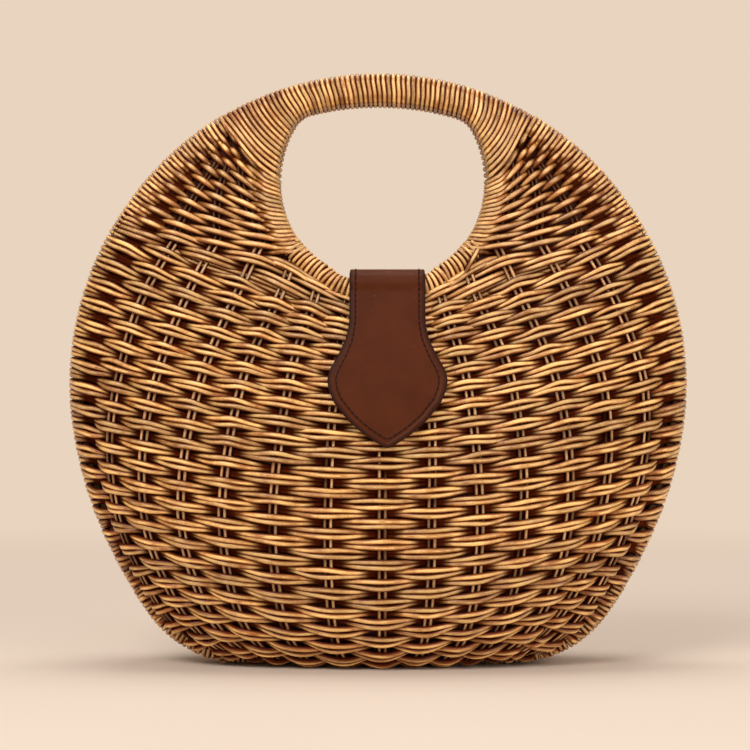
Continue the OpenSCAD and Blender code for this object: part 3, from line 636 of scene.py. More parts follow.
def row_line(i):
    """Angle across and length up of row i, at each sample of the columns."""
    keys = np.array(ROW_KEYS, float)
    z0, rise, power = (np.interp(i, keys[:, 0], keys[:, k]) for k in (1, 2, 3))
    below = max(0, keys[0, 0] - i)
    v0 = v_of(z0) - ROW_STEP * below
    v = np.full_like(columns, v0)
    for _ in range(6):
        tau = column_tau(columns, z_of(v))
        out = np.abs(np.sin(tau))
        climb = (out * out / np.sqrt(out * out + LEVEL_MIDDLE ** 2)) ** power
        v = v0 + rise * climb if below else np.interp(z0 + rise * climb, section_z, section_v)
    return tau, v


# In places the strands of a row bow upwards where they pass over a stake, by this many mm, more
# and more up to a height
BOW = {-4: 0.5, -3: 1.0, -2: 0.6, 2: 0.5, 4: 0.6}
OTHER_BOW, BOW_FROM_Z, BOW_FULL_Z = 0.15, 60, 140


def row_bow(c, z):
    nearest = np.round(c)
    height = np.array([BOW.get(int(k), OTHER_BOW) for k in nearest])
    grown = np.clip((z - BOW_FROM_Z) / (BOW_FULL_Z - BOW_FROM_Z), 0, 1)
    return height * np.cos(math.pi * (c - nearest)) ** 2 * grown


def row_offset(c, over_odd):
    """Offset of a row from the wall's middle. Past column 7 it comes up to the rim."""
    a = np.abs(c)
    end = AMP if over_odd else -AMP
    rim = end + (RIM_N - end) * smooth((a - 7) / (0.95 if over_odd else 0.7))
    return np.where(a > 7, rim, over_under(a, 1.0 if over_odd else 0.0, AMP))


def ring_of(front, back):
    """One closed row of values from those of the front and of the back, rim to rim."""
    return np.concatenate([front, back[::-1][1:-1]])


# Half the space of a pair, and the girth of its strands: between stakes, how much more over a
# stake, and at the rim. Then the wander of a strand and its number of waves
PAIR_APART, PAIR_GIRTH = (0.9, 0.66, 1.25), (1.0, 0.27, 1.08)
WANDER, WAVES = 0.2, 40


def weave_rows(first, last):
    """Rows of the basket, as closed strands round both halves."""
    strands = Strands()
    m = len(columns)
    a = np.abs(columns)
    near_rim = smooth((a - 7.2) / 0.6)

    def varied(between, more, rim):
        value = between + more * over
        return value + (rim - value) * near_rim
    for j in range(first, last):
        tau, v = row_line(FIRST_ROW + j)
        over_odd = j % 2 == 1
        over = 0.5 + 0.5 * over_under(a, 1.0 if over_odd else 0.0, 1.0)
        apart, girth = varied(*PAIR_APART), varied(*PAIR_GIRTH)
        n = row_offset(columns, over_odd)
        top = np.clip((n + AMP) / (2 * AMP), 0, 1)
        top = np.where(a > 7.3, np.maximum(top, smooth((a - 7.3) / 0.3)), top)
        bow = row_bow(columns, z_of(v)) * over
        for half in (-1, 1):
            drift = waver(2 * m - 2, WANDER, WAVES, True)
            sides = []
            for wander, signs in ((drift[:m], 1), (drift[::-1][:m], TO_BACK)):
                wander = wander * np.clip((8 - a) / 0.8, 0, 1)
                pts, out = on_shell(tau, v + half * apart + wander + bow, n)
                sides.append((pts * signs, out * signs))
            (pts, out), (back_pts, back_out) = sides
            strands.add(ring_of(pts, back_pts), ring_of(out, back_out), ring_of(top, top),
                        closed=True, girth=ring_of(girth, girth))
    return strands


def strand_piece(name, strands, material, body, radius=STRAND_R, sides=7,
                 blend=None):
    obj = made(name, strands.paths(name + "_paths"), STRAND_TREE,
               {"Strand radius": radius * MM, "Sides": sides, "Finish": material})
    if blend:
        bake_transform(obj)
    else:
        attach(obj, body)
    return obj


third = row_count // 3
bounds = (0, third, 2 * third, row_count)
weave = [strand_piece("woven_rows_%d" % (k + 1), weave_rows(bounds[k], bounds[k + 1]), weave_cane,
                      "body") for k in range(3)]
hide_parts("woven_body")

RIM_PITCH, WINDING_PITCH = 2.45, 2.5
# Where the extra turns begin and end: the column, the offset in there, and how much deeper than
# the others those lie that only close the gaps
TURN_FROM, TURN_HIDDEN, DEEPER = 6.85, -2.3, 1.7


def over_rim(values, signs=1):
    """A row of values that runs on over the rim to its mirror image at the back."""
    return np.concatenate([values, (values * signs)[::-1][1:]])


def rim_turns():
    """Extra turns round the rim where the rows are far apart."""
    extra = Strands()
    ends = [float(row_line(FIRST_ROW + j)[1][-1]) for j in range(row_count)]
    for low, high in zip(ends, ends[1:]):
        z0, z1 = float(z_of(low)), float(z_of(high))
        gap, run = high - low, math.hypot(z1 - z0, float(half_w(z1) - half_w(z0)))
        count = int(round((run - 2 * RIM_PITCH) / RIM_PITCH))
        # Between these and the rows lie deeper ones, so that no light comes through
        places = [(k + 0.5 - count / 2, RIM_N) for k in range(count)]
        places += [(k - count / 2, RIM_N - DEEPER) for k in range(count + 1)]
        for k, rise in places:
            v0 = low + gap / 2 + k * RIM_PITCH * gap / run
            for side in (-1, 1):
                c = side * np.linspace(TURN_FROM, 8, 12)
                tau = column_tau(c, z_of(v0))
                v = v0 - 5 * (1 - np.abs(np.sin(tau)))
                n = TURN_HIDDEN + (rise - TURN_HIDDEN) * smooth((np.abs(c) - 7.2) / 0.4)
                pts, out = on_shell(tau, v, n)
                extra.add(over_rim(pts, TO_BACK), over_rim(out, TO_BACK),
                          over_rim(np.clip((n + 2) / 3.3, 0, 1)))
    return extra


def arc_line(angles, centre, radius):
    return [(centre[0] + radius * math.cos(a), centre[1] + radius * math.sin(a)) for a in angles]


# The right-hand rim cane, from the base to the notch: corner, flank and round top
notch_angle = math.asin((WALL_TOP + 6 - ROUND_Z) / BAR_R)
rim_right = np.array(
    arc_line(np.linspace(-math.pi / 2, -CORNER_ANGLE, 14), (CORNER_X, CORNER_R),
             CORNER_R - RING_OFF)
    + arc_line(np.linspace(-CORNER_ANGLE, -FLANK_START, 40), (FLANK_X, FLANK_Z),
               FLANK_R - RING_OFF)[1:]
    + arc_line(np.linspace(-FLANK_START, notch_angle, 40), (0, ROUND_Z), BAR_R)[1:])


def wind_along(core, per_turn):
    """Turns so far and place on the core, for each point of a winding along it."""
    run = run_of(core)
    turns = int(run[-1] / WINDING_PITCH)
    t = np.arange(turns * per_turn + 1) / float(per_turn)
    return t, sample(t / turns * run[-1], run, core)


def foot_turns():
    """One winding round both rim canes, under the base and up both corners."""
    up = rim_right[:20]
    under = [[x, RING_OFF] for x in np.linspace(3 - CORNER_X, CORNER_X - 3, 40)]
    t, line = wind_along(np.concatenate([(up * [-1, 1])[::-1], under, up]), 16)
    way = unit(np.gradient(line, axis=0))
    ox, oz = way[:, 1], -way[:, 0]
    outward, side = np.cos(2 * math.pi * t), np.sin(2 * math.pi * t)
    y = WRAP_R * side + RIM_Y * np.clip(side * 1.7, -1, 1)
    r = WRAP_R * outward
    winding = Strands()
    # Where a turn passes the inner side of the canes it is painted darker: painted shade with the
    # stain
    winding.add(np.stack([line[:, 0] + r * ox, y, line[:, 1] + r * oz], -1),
                unit(np.stack([outward * ox, side, outward * oz], -1)),
                np.where(outward > -0.4, 1.0, 0.3))
    return winding


strand_piece("rim_turns", rim_turns(), wound_cane, "body")
strand_piece("rim_foot_winding", foot_turns(), wound_cane, "body")

# The rim canes themselves, close under the rows: both lines are drawn in towards a place on the
# axis
DRAWN_IN, AXIS_PLACE = 1.1, [[0, 120.0]]
rim_canes = Strands()
for flip in (-1, 1):
    line = np.concatenate([(rim_right * [-1, 1])[::-1], rim_right])
    line = line + DRAWN_IN * unit(np.array(AXIS_PLACE) - line)
    # Painted fairly deep: stain and painted shade, as they lie under the rows
    rim_canes.add(np.stack([line[:, 0], np.full(len(line), flip * (RIM_Y - 0.5)), line[:, 1]], -1),
                  np.array([0.0, flip, 0.0]), 0.3)
rim_cane_pair = strand_piece("rim_canes", rim_canes, stake_cane, "body",
                             radius=2.6, sides=10)
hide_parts("front_rim_cane", "back_rim_cane")


STAKE_LOW_V, STAKE_TOP_Z, STAKE_APART, STAKE_BEND, UNDER_RING = 14.0, 216.0, 1.5, 0.10, 2


def stake_pairs(flip):
    """Pairs of thin canes, from the base to the ears or to the ring of the hand hole."""
    s = Strands()
    for c in range(-6, 7):
        top_z = STAKE_TOP_Z
        if abs(c) <= 3:
            x = float(half_w(190) * np.sin(column_tau(np.array(float(c)), 195.0)))
            ring_z = HOLE_Z - math.sqrt(RING_R ** 2 - min(abs(x - HOLE_SHIFT), 45) ** 2)
            top_z = ring_z - UNDER_RING
        v = np.linspace(STAKE_LOW_V, v_of(top_z), 46)
        centre, out = on_shell(column_tau(np.full_like(v, c), z_of(v)), v, 0)
        across = unit(np.cross(unit(np.gradient(centre, axis=0)), out))
        for side in (-1, 1):
            bow = waver(len(v), STAKE_BEND, 6)[:, None]
            pts = centre + (side * STAKE_APART + bow * 0.5) * across + bow * out
            # Painted darker, partly stain and partly painted shade, as if it lay fairly deep, more
            # or less so from cane to cane
            shown = 0.28 + 0.2 * s.rng.random() + waver(len(v), 0.06, 5)
            s.add(pts, out, shown, signs=(1, flip, 1))
    return s


for name, flip in HALVES:
    stakes = strand_piece(name + "_stake_pairs", stake_pairs(flip), stake_cane, "body",
                          radius=1.0, sides=8)
    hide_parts(name + "_stakes")


def hermite(p0, t0, p1, t1, t):
    """A curve between two points that starts and ends in given directions."""
    t = t[:, None]
    return ((2 * t ** 3 - 3 * t ** 2 + 1) * p0 + (t ** 3 - 2 * t ** 2 + t) * t0
            + (-2 * t ** 3 + 3 * t ** 2) * p1 + (t ** 3 - t ** 2) * t1)


def through(points, n):
    """A smooth line through a few points, evenly divided."""
    p = np.asarray(points, float)
    p = np.concatenate([[2 * p[0] - p[1]], p, [2 * p[-1] - p[-2]]])
    t = np.linspace(0, 1, 16, endpoint=False)[:, None]
    out = [0.5 * (2 * b + (c - a) * t + (2 * a - 5 * b + 4 * c - d) * t ** 2
                  + (3 * b - a - 3 * c + d) * t ** 3)
           for a, b, c, d in zip(p, p[1:], p[2:], p[3:])]
    out = np.concatenate(out + [p[-2:-1]])
    run = run_of(out)
    return sample(np.linspace(0, run[-1], n), run, out)


def face_y(x, z):
    """How far the front of an ear stands in front of the middle plane."""
    return np.maximum(RIM_Y, wall_y(x, z))


def face_out(x, z):
    """Outward direction of the front of an ear, without the sharp turn at the rim."""
    limit = 0.94 * half_w(z)
    x = np.clip(x, -limit, limit)
    gx = (face_y(x + 1, z) - face_y(x - 1, z)) / 2
    gz = (face_y(x, z + 1) - face_y(x, z - 1)) / 2
    return unit(np.stack([-gx, -np.ones_like(x), -gz], -1))


def on_face(x, z, n):
    """Points at a distance n outside the front of an ear, and their outward directions."""
    out = face_out(x, z)
    return np.stack([x, -face_y(x, z), z], -1) + np.reshape(n, (-1, 1)) * out, out


def tucked(centre, start, lift):
    """Half a turn about a cane, from the front over the side named by start, and in behind."""
    outs = [FRONT * math.cos(a) + start * math.sin(a) for a in np.linspace(0, math.pi, 8)[1:-1]]
    end = centre - WRAP_R * FRONT
    pts = [centre + WRAP_R * o for o in outs]
    pts += [end, end - start * 3, end - start * 7 + np.array([0, lift, 0])]
    return np.array(pts), np.array(outs + [-FRONT] * 3)


# Ears: single strands from the rim to the edge of the hand hole. The lowest ones run on below
# the hole to the strap, in two pairs, by where they cross stakes. Of the others every third is
# only wound round the rim, as the rim is longer
EAR_STRANDS, LOW_STRANDS = 31, 4
LOW_PATHS = [[(106.4, 213.7), (86.5, 207.2), (66.1, 201.0), (50.2, 193.4),
              (31.6, 185.4), (14, 179), (2.4, 178)],
             [(101.5, 217.2), (82.5, 210.8), (63.3, 206.0), (48, 199.6),
              (33.5, 192.0), (14, 184), (2.4, 182.8)]]
FIRST_A, LAST_A, LOWEST_HOLE_A = math.radians(30.6), math.radians(59.3), math.radians(-41)
# The lowest strand starts a little further in. How strongly a strand holds the directions in
# which it leaves the rim and meets the hole, and its run from each edge until it lies in the
# weave: a flat part and a fall, which is longer for one that next goes over a stake
RIM_STEP_IN, LEAVES, MEETS = 0.9, 0.8, 0.45
RIM_FLAT, RIM_FALLS, HOLE_FLAT, HOLE_FALL = 3.0, (6.0, 9.5), 2.0, 8.0
EAR_GIRTH, LOW_MORE, EAR_MORE, RIM_GIRTH, HOLE_GIRTH = 1.1, 0.14, 0.3, 1.09, 1.05
STAKE_SPACE, HIDDEN_END = 13, 2.2


def ear_strand(i, shift):
    """One strand of a right-hand ear: points, outward directions, how high it lies, girth."""
    q = i / (EAR_STRANDS - 1)
    a = FIRST_A + (LAST_A - FIRST_A) * q
    radial = np.array([math.cos(a), math.sin(a)])
    p0 = np.array([0, ROUND_Z]) + (BAR_R - RIM_STEP_IN * (1 - q)) * radial
    low = i < LOW_STRANDS
    kind = 1 - i // 2 if low else (i - LOW_STRANDS) % 3
    only_rim = not low and kind == 1
    phase = 1.0 if kind == (1 if low else 0) else 0.0
    if low:
        path = np.array(LOW_PATHS[i // 2], float) - [0, 1.45 * (-1) ** i]
        path[:, 0] += shift - HOLE_SHIFT
        line = through([p0, p0 - radial * 4] + list(path), 110)
    else:
        row = 2 * ((i - LOW_STRANDS) // 3) + (kind == 2) + 0.5 * only_rim
        rows = 2 * ((EAR_STRANDS - LOW_STRANDS) // 3) - 1
        h = LOWEST_HOLE_A * (1 - row / rows)
        inner = np.array([math.cos(h), math.sin(h)])
        p1 = np.array([shift, HOLE_Z]) + RING_R * inner
        dist = np.linalg.norm(p1 - p0)
        slant = unit(0.5 * (p1 - p0) / dist - 0.5 * inner)
        line = hermite(p0, -radial * LEAVES * dist, p1, slant * MEETS * dist,
                       np.linspace(0, 1, 80))
    x, z = line.T
    run, c = run_of(line), column_at(x, z)
    if only_rim:
        stop = int(np.argmax(c < 6.55))
        x, z, run, c = x[:stop], z[:stop], run[:stop], c[:stop]
    rest = run[-1] - run
    # Where the stakes stand close, a strand can't swing out so far
    spacing = 1 / np.maximum(0.03, np.abs(np.gradient(c) / np.maximum(0.05, np.gradient(run))))
    amp = AMP * np.clip(np.median(spacing) / STAKE_SPACE, 0.6, 1)
    near_rim = 1 - smooth((run - RIM_FLAT) / RIM_FALLS[int(phase)])
    n = over_under(c, phase, amp)
    n = n + (WRAP_R - n) * near_rim
    y = face_y(x, z)
    y = y + (RIM_Y - y) * (1 - smooth(run / 9.0))
    out = face_out(x, z)
    over = 0.5 + 0.5 * over_under(c, phase, 1.0)
    girth = EAR_GIRTH + (LOW_MORE if low else EAR_MORE) * over
    if low:
        # Beside the ring it lies flatter and further out
        n = n + (0.6 - 0.3 * n) * smooth((82 - rest) / 22.0)
        top = np.maximum(np.clip(0.5 + n / (2 * AMP), 0, 1), near_rim)
    elif only_rim:
        n = -HIDDEN_END + (WRAP_R + HIDDEN_END) * near_rim
        top = near_rim
    else:
        near_hole = 1 - smooth((rest - HOLE_FLAT) / HOLE_FALL)
        girth = girth + (HOLE_GIRTH - girth) * near_hole
        n = n + (WRAP_R - n) * near_hole
        ends = np.maximum(near_rim, near_hole)
        top = np.maximum(np.clip(0.5 + n / (2 * amp), 0, 1), ends)
        out = unit(out + (FRONT - out) * ends[:, None])
    girth = girth + (RIM_GIRTH - girth) * near_rim
    pts = np.stack([x, -y, z], -1) + n[:, None] * out
    # Before it, round the rim cane from behind; after it, round the cane of the hand hole
    before, before_out = tucked(np.array([p0[0], -RIM_Y, p0[1]]),
                                np.array([radial[0], 0, radial[1]]), 0.4)
    pts = np.concatenate([before[::-1], pts])
    out = np.concatenate([before_out[::-1], out])
    top = np.concatenate([np.ones(len(before)), top])
    girth = np.concatenate([np.full(len(before), RIM_GIRTH), girth])
    if not low and not only_rim:
        way = np.array([slant[0], 0, slant[1]]) / max(0.6, -float(slant @ inner))
        hole_y = float(face_y(p1[0:1], p1[1:2])[0])
        after, after_out = tucked(np.array([p1[0], -hole_y, p1[1]]), way, -0.6)
        pts = np.concatenate([pts, after])
        out = np.concatenate([out, after_out])
        top = np.concatenate([top, np.ones(len(after))])
        girth = np.concatenate([girth, np.full(len(after), HOLE_GIRTH)])
    return pts, out, top, girth


def hole_line(shift):
    """The hole's upper edge as x, z and angle: its round side, its corner and the underside of
    the handle."""
    a, b = HOLE_R - HOLE_CORNER_R, BAG_R - HANDLE_H - HOLE_CORNER_R
    dz = HOLE_Z - ROUND_Z
    d = math.hypot(shift, dz)
    m = (b * b - a * a + d * d) / (2 * d)
    h = math.sqrt(b * b - m * m)
    ux, uz = shift / d, dz / d
    corner = (m * ux + h * uz, ROUND_Z + m * uz - h * ux)
    a1 = math.atan2(corner[1] - HOLE_Z, corner[0] - shift)
    a2 = math.atan2(corner[1] - ROUND_Z, corner[0])
    arcs = [((shift, HOLE_Z), RING_R, np.linspace(0, a1, 20)),
            (corner, HOLE_CORNER_R + RING_OFF, np.linspace(a1, a2, 12)[1:]),
            ((0, ROUND_Z), BAG_R - HANDLE_H + RING_OFF, np.linspace(a2, math.pi / 2, 30)[1:])]
    return np.array([(centre[0] + r * math.cos(t), centre[1] + r * math.sin(t), t)
                     for centre, r, angles in arcs for t in angles])


# Points of a turn of the handle's winding, and the shares of a turn at which it has crossed the
# front, passed the hole's cane and crossed the back
TURN_POINTS, FRONT_END, HOLE_END, BACK_END = 20, 0.36, 0.54, 0.82
HANDLE_R, HANDLE_PITCH, BAR_HALF, MOST_SWING = 157, 2.55, math.radians(10), 0.3


def handle_half(shift):
    """For turns from the ear's last strand to the top of the handle: the angle on the rim, the
    point on the hole's edge and the direction in which it is rounded."""
    line = hole_line(shift)
    run = run_of(line[:, :2])
    start_a = LAST_A + math.radians(0.1)
    count = int((math.pi / 2 - start_a) * HANDLE_R / HANDLE_PITCH)
    angle = np.linspace(start_a, math.pi / 2, count * TURN_POINTS + 1)
    # Level with the rim on the bar; below it, spread along the side of the hole
    r = BAG_R - HANDLE_H + RING_OFF
    s_bar = run[-1] - (math.pi / 2 - angle) * r
    q = np.clip((angle - start_a) / (math.pi / 2 - BAR_HALF - start_a), 0, 1) ** 0.88
    s_low = 1.2 + (run[-1] - BAR_HALF * r - 1.2) * q
    s = np.where(angle > math.pi / 2 - BAR_HALF, s_bar, s_low)
    at = sample(s, run, line)
    return angle, at[:, :2], at[:, 2]


def swung(way, angle):
    """A direction in the plane of the front, turned by an angle towards the right."""
    c, s = math.cos(angle), math.sin(angle)
    return np.array([way[0] * c - way[2] * s, way[1], way[0] * s + way[2] * c])


def handle_turns():
    """One winding from ear to ear over the handle."""
    (a0, h0, w0), (a1, h1, w1) = handle_half(-HOLE_SHIFT), handle_half(HOLE_SHIFT)
    angle = np.concatenate([math.pi - a0, a1[::-1][1:]])
    hole = np.concatenate([h0 * [-1, 1], h1[::-1][1:]])
    way = np.concatenate([math.pi - w0, w1[::-1][1:]])
    n = len(angle)
    t = np.arange(n) / float(TURN_POINTS)
    pts, outs = [], []
    for k in range(n):
        f = t[k] % 1.0
        rad = np.array([math.cos(angle[k]), 0, math.sin(angle[k])])
        rim = np.array([0, -RIM_Y, ROUND_Z]) + BAR_R * rad
        hx, hz = hole[k]
        inner = np.array([hx, -float(face_y(np.array([hx]), np.array([hz]))[0]), hz])
        to_hole = -np.array([math.cos(way[k]), 0, math.sin(way[k])])
        # Each turn is one even curve: it swings towards the hole edge's own direction. Next to
        # the ear it leaves the rim as the ear's strands do
        dist = np.linalg.norm(inner - rim)
        chord = (inner - rim) / dist
        swing = math.atan2(chord[0] * to_hole[2] - chord[2] * to_hole[0], float(to_hole @ chord))
        swing = max(-MOST_SWING, min(MOST_SWING, 0.3 * swing))
        leave_swing = -swing * float(smooth(t[min(k, n - 1 - k)] / 6.0))
        arrive_way, leave_way = swung(chord, swing), swung(chord, leave_swing)
        around = arrive_way / max(0.6, float(arrive_way @ to_hole))
        around_rim = -leave_way / max(0.6, float(-leave_way @ rad))
        arrive, leave, lift = arrive_way * dist, leave_way * dist, FRONT * WRAP_R
        if f < FRONT_END:
            u = np.array([f / FRONT_END])
            bulge = math.sin(math.pi * u[0]) * min(1.4, 0.03 * dist)
            p = hermite(rim + lift, leave, inner + lift, arrive, u)[0] + FRONT * bulge
            o = FRONT
        elif f < HOLE_END:
            a = (f - FRONT_END) / (HOLE_END - FRONT_END) * math.pi
            o = FRONT * math.cos(a) + around * math.sin(a)
            p = inner + WRAP_R * o
        elif f < BACK_END:
            u = np.array([(f - HOLE_END) / (BACK_END - HOLE_END)])
            p = hermite(inner - lift, -arrive, rim - lift, -leave, u)[0]
            p[1] = min(p[1], -MEET_GAP / 2 - STRAND_R - 0.1)
            o = -FRONT
        else:
            a = (f - BACK_END) / (1 - BACK_END) * math.pi
            o = -FRONT * math.cos(a) + around_rim * math.sin(a)
            p = rim + WRAP_R * o
        pts.append(p)
        outs.append(o)
    return np.array(pts), np.array(outs)


def add_turns(strands, pts, out, per_turn, lead, signs, girth):
    """Adds a winding cut into turns out of sight, as its tint changes from turn to turn."""
    for k in range(-lead, len(pts) - 1, per_turn):
        part = slice(max(0, k), k + per_turn + 1)
        strands.add(pts[part], out[part], 1.0, girth=girth, signs=signs)


def top_half(flip):
    s = Strands()
    for side, shift in ((-1, -HOLE_SHIFT), (1, HOLE_SHIFT)):
        for i in range(EAR_STRANDS):
            pts, out, top, girth = ear_strand(i, shift)
            s.add(pts, out, top, girth=girth, signs=(side, flip, 1))
    pts, out = handle_turns()
    add_turns(s, pts, out, TURN_POINTS, 6, (1, flip, 1), 1.08)
    return s


def ear_stake_pairs(flip):
    s = Strands()
    z = np.linspace(214, APEX_Z + 2, 22)
    # The two canes of a pair draw together towards the top
    apart = 1.4 - 0.3 * smooth((z - 225) / 30)
    for side in (-1, 1):
        for c in (4, 5, 6):
            x = np.where(z < EAR_STAKE_LOW, column_x(c, z), ear_stake_x(c, z))
            for k in (-1, 1):
                pts = np.stack([x + k * apart, -face_y(x, z), z], -1)
                # Painted deep: stain and painted shade
                s.add(pts, face_out(x, z), 0.2, signs=(side, flip, 1))
    return s


# Points on the ears' joint line, 27.2 mm off the middle, over 20 mm at the notches; a piece given
# them is only baked in place
def bend(flip):
    return tuple((0, -0.0272 * flip, z) for z in (0.206, 0.226))


for name, flip in HALVES:
    top_weave = strand_piece(name + "_ears_and_handle", top_half(flip), wound_cane,
                             name + "_top", blend=bend(flip))
    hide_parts(name + "_left_ear", name + "_right_ear", name + "_handle_winding")
    ear_stakes = strand_piece(name + "_ear_stake_pairs", ear_stake_pairs(flip), stake_cane,
                              name + "_top", radius=0.9, sides=8, blend=bend(flip))
    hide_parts(name + "_ear_stakes")


def dip_z(d, r):
    """Height of a line round the lower edge of the hand hole, which is flatter at its foot."""
    flat = np.where(np.abs(d) < 30, d * (np.abs(d) / 30) ** 0.8, d)
    return HOLE_Z - np.sqrt(np.maximum(0, r * r - flat ** 2))


# Beside the ring two strands on each side run on from the corner of the ear, and above the top
# row two short ones run behind the stakes, deep in the shade. One strand end is tucked over
BESIDE_RING = [(66, 210), (54, 207.5), (44, 202.8), (33, 196), (14, 188.6), (0, 187.8)]
BESIDE_DROPS = [1, 2, 2.2, 2.4, 2.4, 2.4]
SHADED = [(108, 211.6), (100, 209.2), (90, 205.6), (80, 202.1), (70, 198.7), (60, 194.9),
          (50, 190.6), (42, 186.9)]
TUCKED_END = [(50.3, 211.4), (48.6, 208.2), (46.4, 204.4), (44.2, 200.8)]
# Offsets from the front: beside the ring before and after the corner, in the shade, and of the
# tucked end at its crest
BESIDE_N, BESIDE_RISE, SHADED_N, TUCKED_N = -1.5, 2.6, -1.7, 6.0
RING_WRAP_R = 4.3


def ring_turns(flip):
    """The winding round the lower edge of the hand hole, and the strands beside it."""
    end = math.asin((WALL_TOP - 0.6 * RING_OFF - HOLE_Z) / RING_R)
    d = RING_R * np.cos(np.linspace(-math.pi - end, end, 400))
    z = dip_z(d, RING_R)
    t, line = wind_along(np.stack([HOLE_SHIFT + d, -wall_y(HOLE_SHIFT + d, z), z], -1), 14)
    along = unit(np.gradient(line, axis=0))
    u = unit(np.cross(FRONT, along))
    v = np.cross(along, u)
    ang = 2 * math.pi * t + 0.6
    out = np.sin(ang)[:, None] * u + np.cos(ang)[:, None] * v
    signs = (1, flip, 1)
    w = Strands()
    add_turns(w, line + RING_WRAP_R * out, out, 14, 8, signs, 1.06)
    for side in (-1, 1):
        for k in (0, 1):
            x, z = through([(x, z - k * drop)
                            for (x, z), drop in zip(BESIDE_RING, BESIDE_DROPS)], 60).T
            n = BESIDE_N + BESIDE_RISE * smooth((62 - x) / 12)
            pts, out = on_face(side * (x + side * HOLE_SHIFT), z, n)
            w.add(pts, out, np.clip(0.5 + n / 4, 0, 1), girth=1.15, signs=signs)
            x, z = through(SHADED, 50).T
            pts, out = on_face(side * (x + side * HOLE_SHIFT), z + 1.3 - 2.5 * k, SHADED_N)
            # Painted deep as well: painted shade with the stain
            w.add(pts, out, 0.34, girth=1.05, signs=signs)
    if flip == 1:
        x, z = through(TUCKED_END, 14).T
        pts, out = on_face(x, z, TUCKED_N * np.sin(np.linspace(0.9, 2.8, 14)))
        w.add(pts, out, 1.0)
    return w


for name, flip in HALVES:
    ring = strand_piece(name + "_ring_turns", ring_turns(flip), wound_cane, "body")
    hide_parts(name + "_ring_winding")


def grid_faces(rows, cols, wrap=False):
    return [(i * cols + j, i * cols + (j + 1) % cols, (i + 1) * cols + (j + 1) % cols,
             (i + 1) * cols + j)
            for i in range(rows - 1) for j in range(cols if wrap else cols - 1)]


# Lining: a dark cotton bag hung inside the basket, so far behind the middle of its wall, with
# slight upright folds. It dips under the ring of the hand hole
LINING_IN, FOLD, LINING_TOP_Z, DIP_R, UNDER_DIP, LEAST_Z = 5.4, 0.5, 215, 60.5, 1.5, 11.5


def lining_grid():
    rows = []
    taus = np.radians(90 * np.sin(np.linspace(-math.pi / 2, math.pi / 2, 41)))
    for i, v in enumerate(np.concatenate([[1.0, 9.0, 17.0], np.linspace(24.0, v_of(214.5), 42)])):
        fold = FOLD * np.sin(7 * taus + 0.9 * i) * smooth((v - 30) / 60)
        z = float(z_of(v))
        d = half_w(z) * np.sin(taus) - HOLE_SHIFT
        top = np.where(np.abs(d) < 60, dip_z(d, DIP_R) - UNDER_DIP, LINING_TOP_Z)
        vv = np.minimum(v, [v_of(min(q, LINING_TOP_Z)) for q in top])
        # Further in behind the ring
        behind = 1.4 * smooth((62 - np.abs(d)) / 10) * smooth((z - 170) / 15)
        front = on_shell(taus, vv, -(LINING_IN + fold + behind))[0]
        side = half_w(np.maximum(z, 14), 6.5)
        front[:, 0] = np.clip(front[:, 0], -side, side)
        front[:, 2] = np.maximum(front[:, 2], LEAST_Z)
        rows.append(np.concatenate([front, (front * TO_BACK)[::-1][1:-1]]))
    return np.array(rows)


grid = lining_grid()
cols = grid.shape[1]
last = len(grid) * cols
lining = solid("lining_bag", np.concatenate([grid.reshape(-1, 3), [grid[0].mean(axis=0)]]),
               grid_faces(len(grid), cols, True) + [((j + 1) % cols, j, last)
                                                    for j in range(cols)], lining_cloth)
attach(lining, "body")
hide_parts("lining")


SHADE_LINING_FOOT_Z, SHADE_LINING_H, SHADE_LINING_SAG = 204, 58, 3.6


def ear_lining_as_shade(name, flip, rows=25, cols=13):
    """Dark lining cloth behind the two ears of a half, from the hole's edge to the rim, put there
    as painted shade so that the ears' gaps show dark.
    """
    verts, faces = [], []
    for side, shift in ((-1, -HOLE_SHIFT), (1, HOLE_SHIFT)):
        first = len(verts)
        for q in np.arange(rows) / (rows - 1):
            z_in = SHADE_LINING_FOOT_Z + q * SHADE_LINING_H
            a = FIRST_A - 0.07 + (LAST_A - FIRST_A + 0.12) * q
            rim = np.array([(BAR_R - 1) * math.cos(a), ROUND_Z + (BAR_R - 1) * math.sin(a)])
            hole = np.array([shift + math.sqrt(RING_R ** 2 - (z_in - HOLE_Z) ** 2), z_in])
            for j in range(cols):
                share = j / (cols - 1)
                p = hole + (rim - hole) * j / (cols - 1)
                sag = SHADE_LINING_SAG * math.sin(math.pi * share) ** 0.5
                y = float(face_y(p[0:1], p[1:2])[0]) - sag
                verts.append((side * p[0], -flip * max(y, 1.0), p[1]))
        quads = [tuple(first + k for k in quad) for quad in grid_faces(rows, cols)]
        faces += quads if side * flip > 0 else [quad[::-1] for quad in quads]
    # A dark sheet that stands in for the shade behind the ears
    facing = solid(name + "_ear_lining_as_shade", verts, faces, lining_cloth)
    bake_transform(facing)
    return facing


ear_linings_as_shade = [ear_lining_as_shade(name, flip) for name, flip in HALVES]

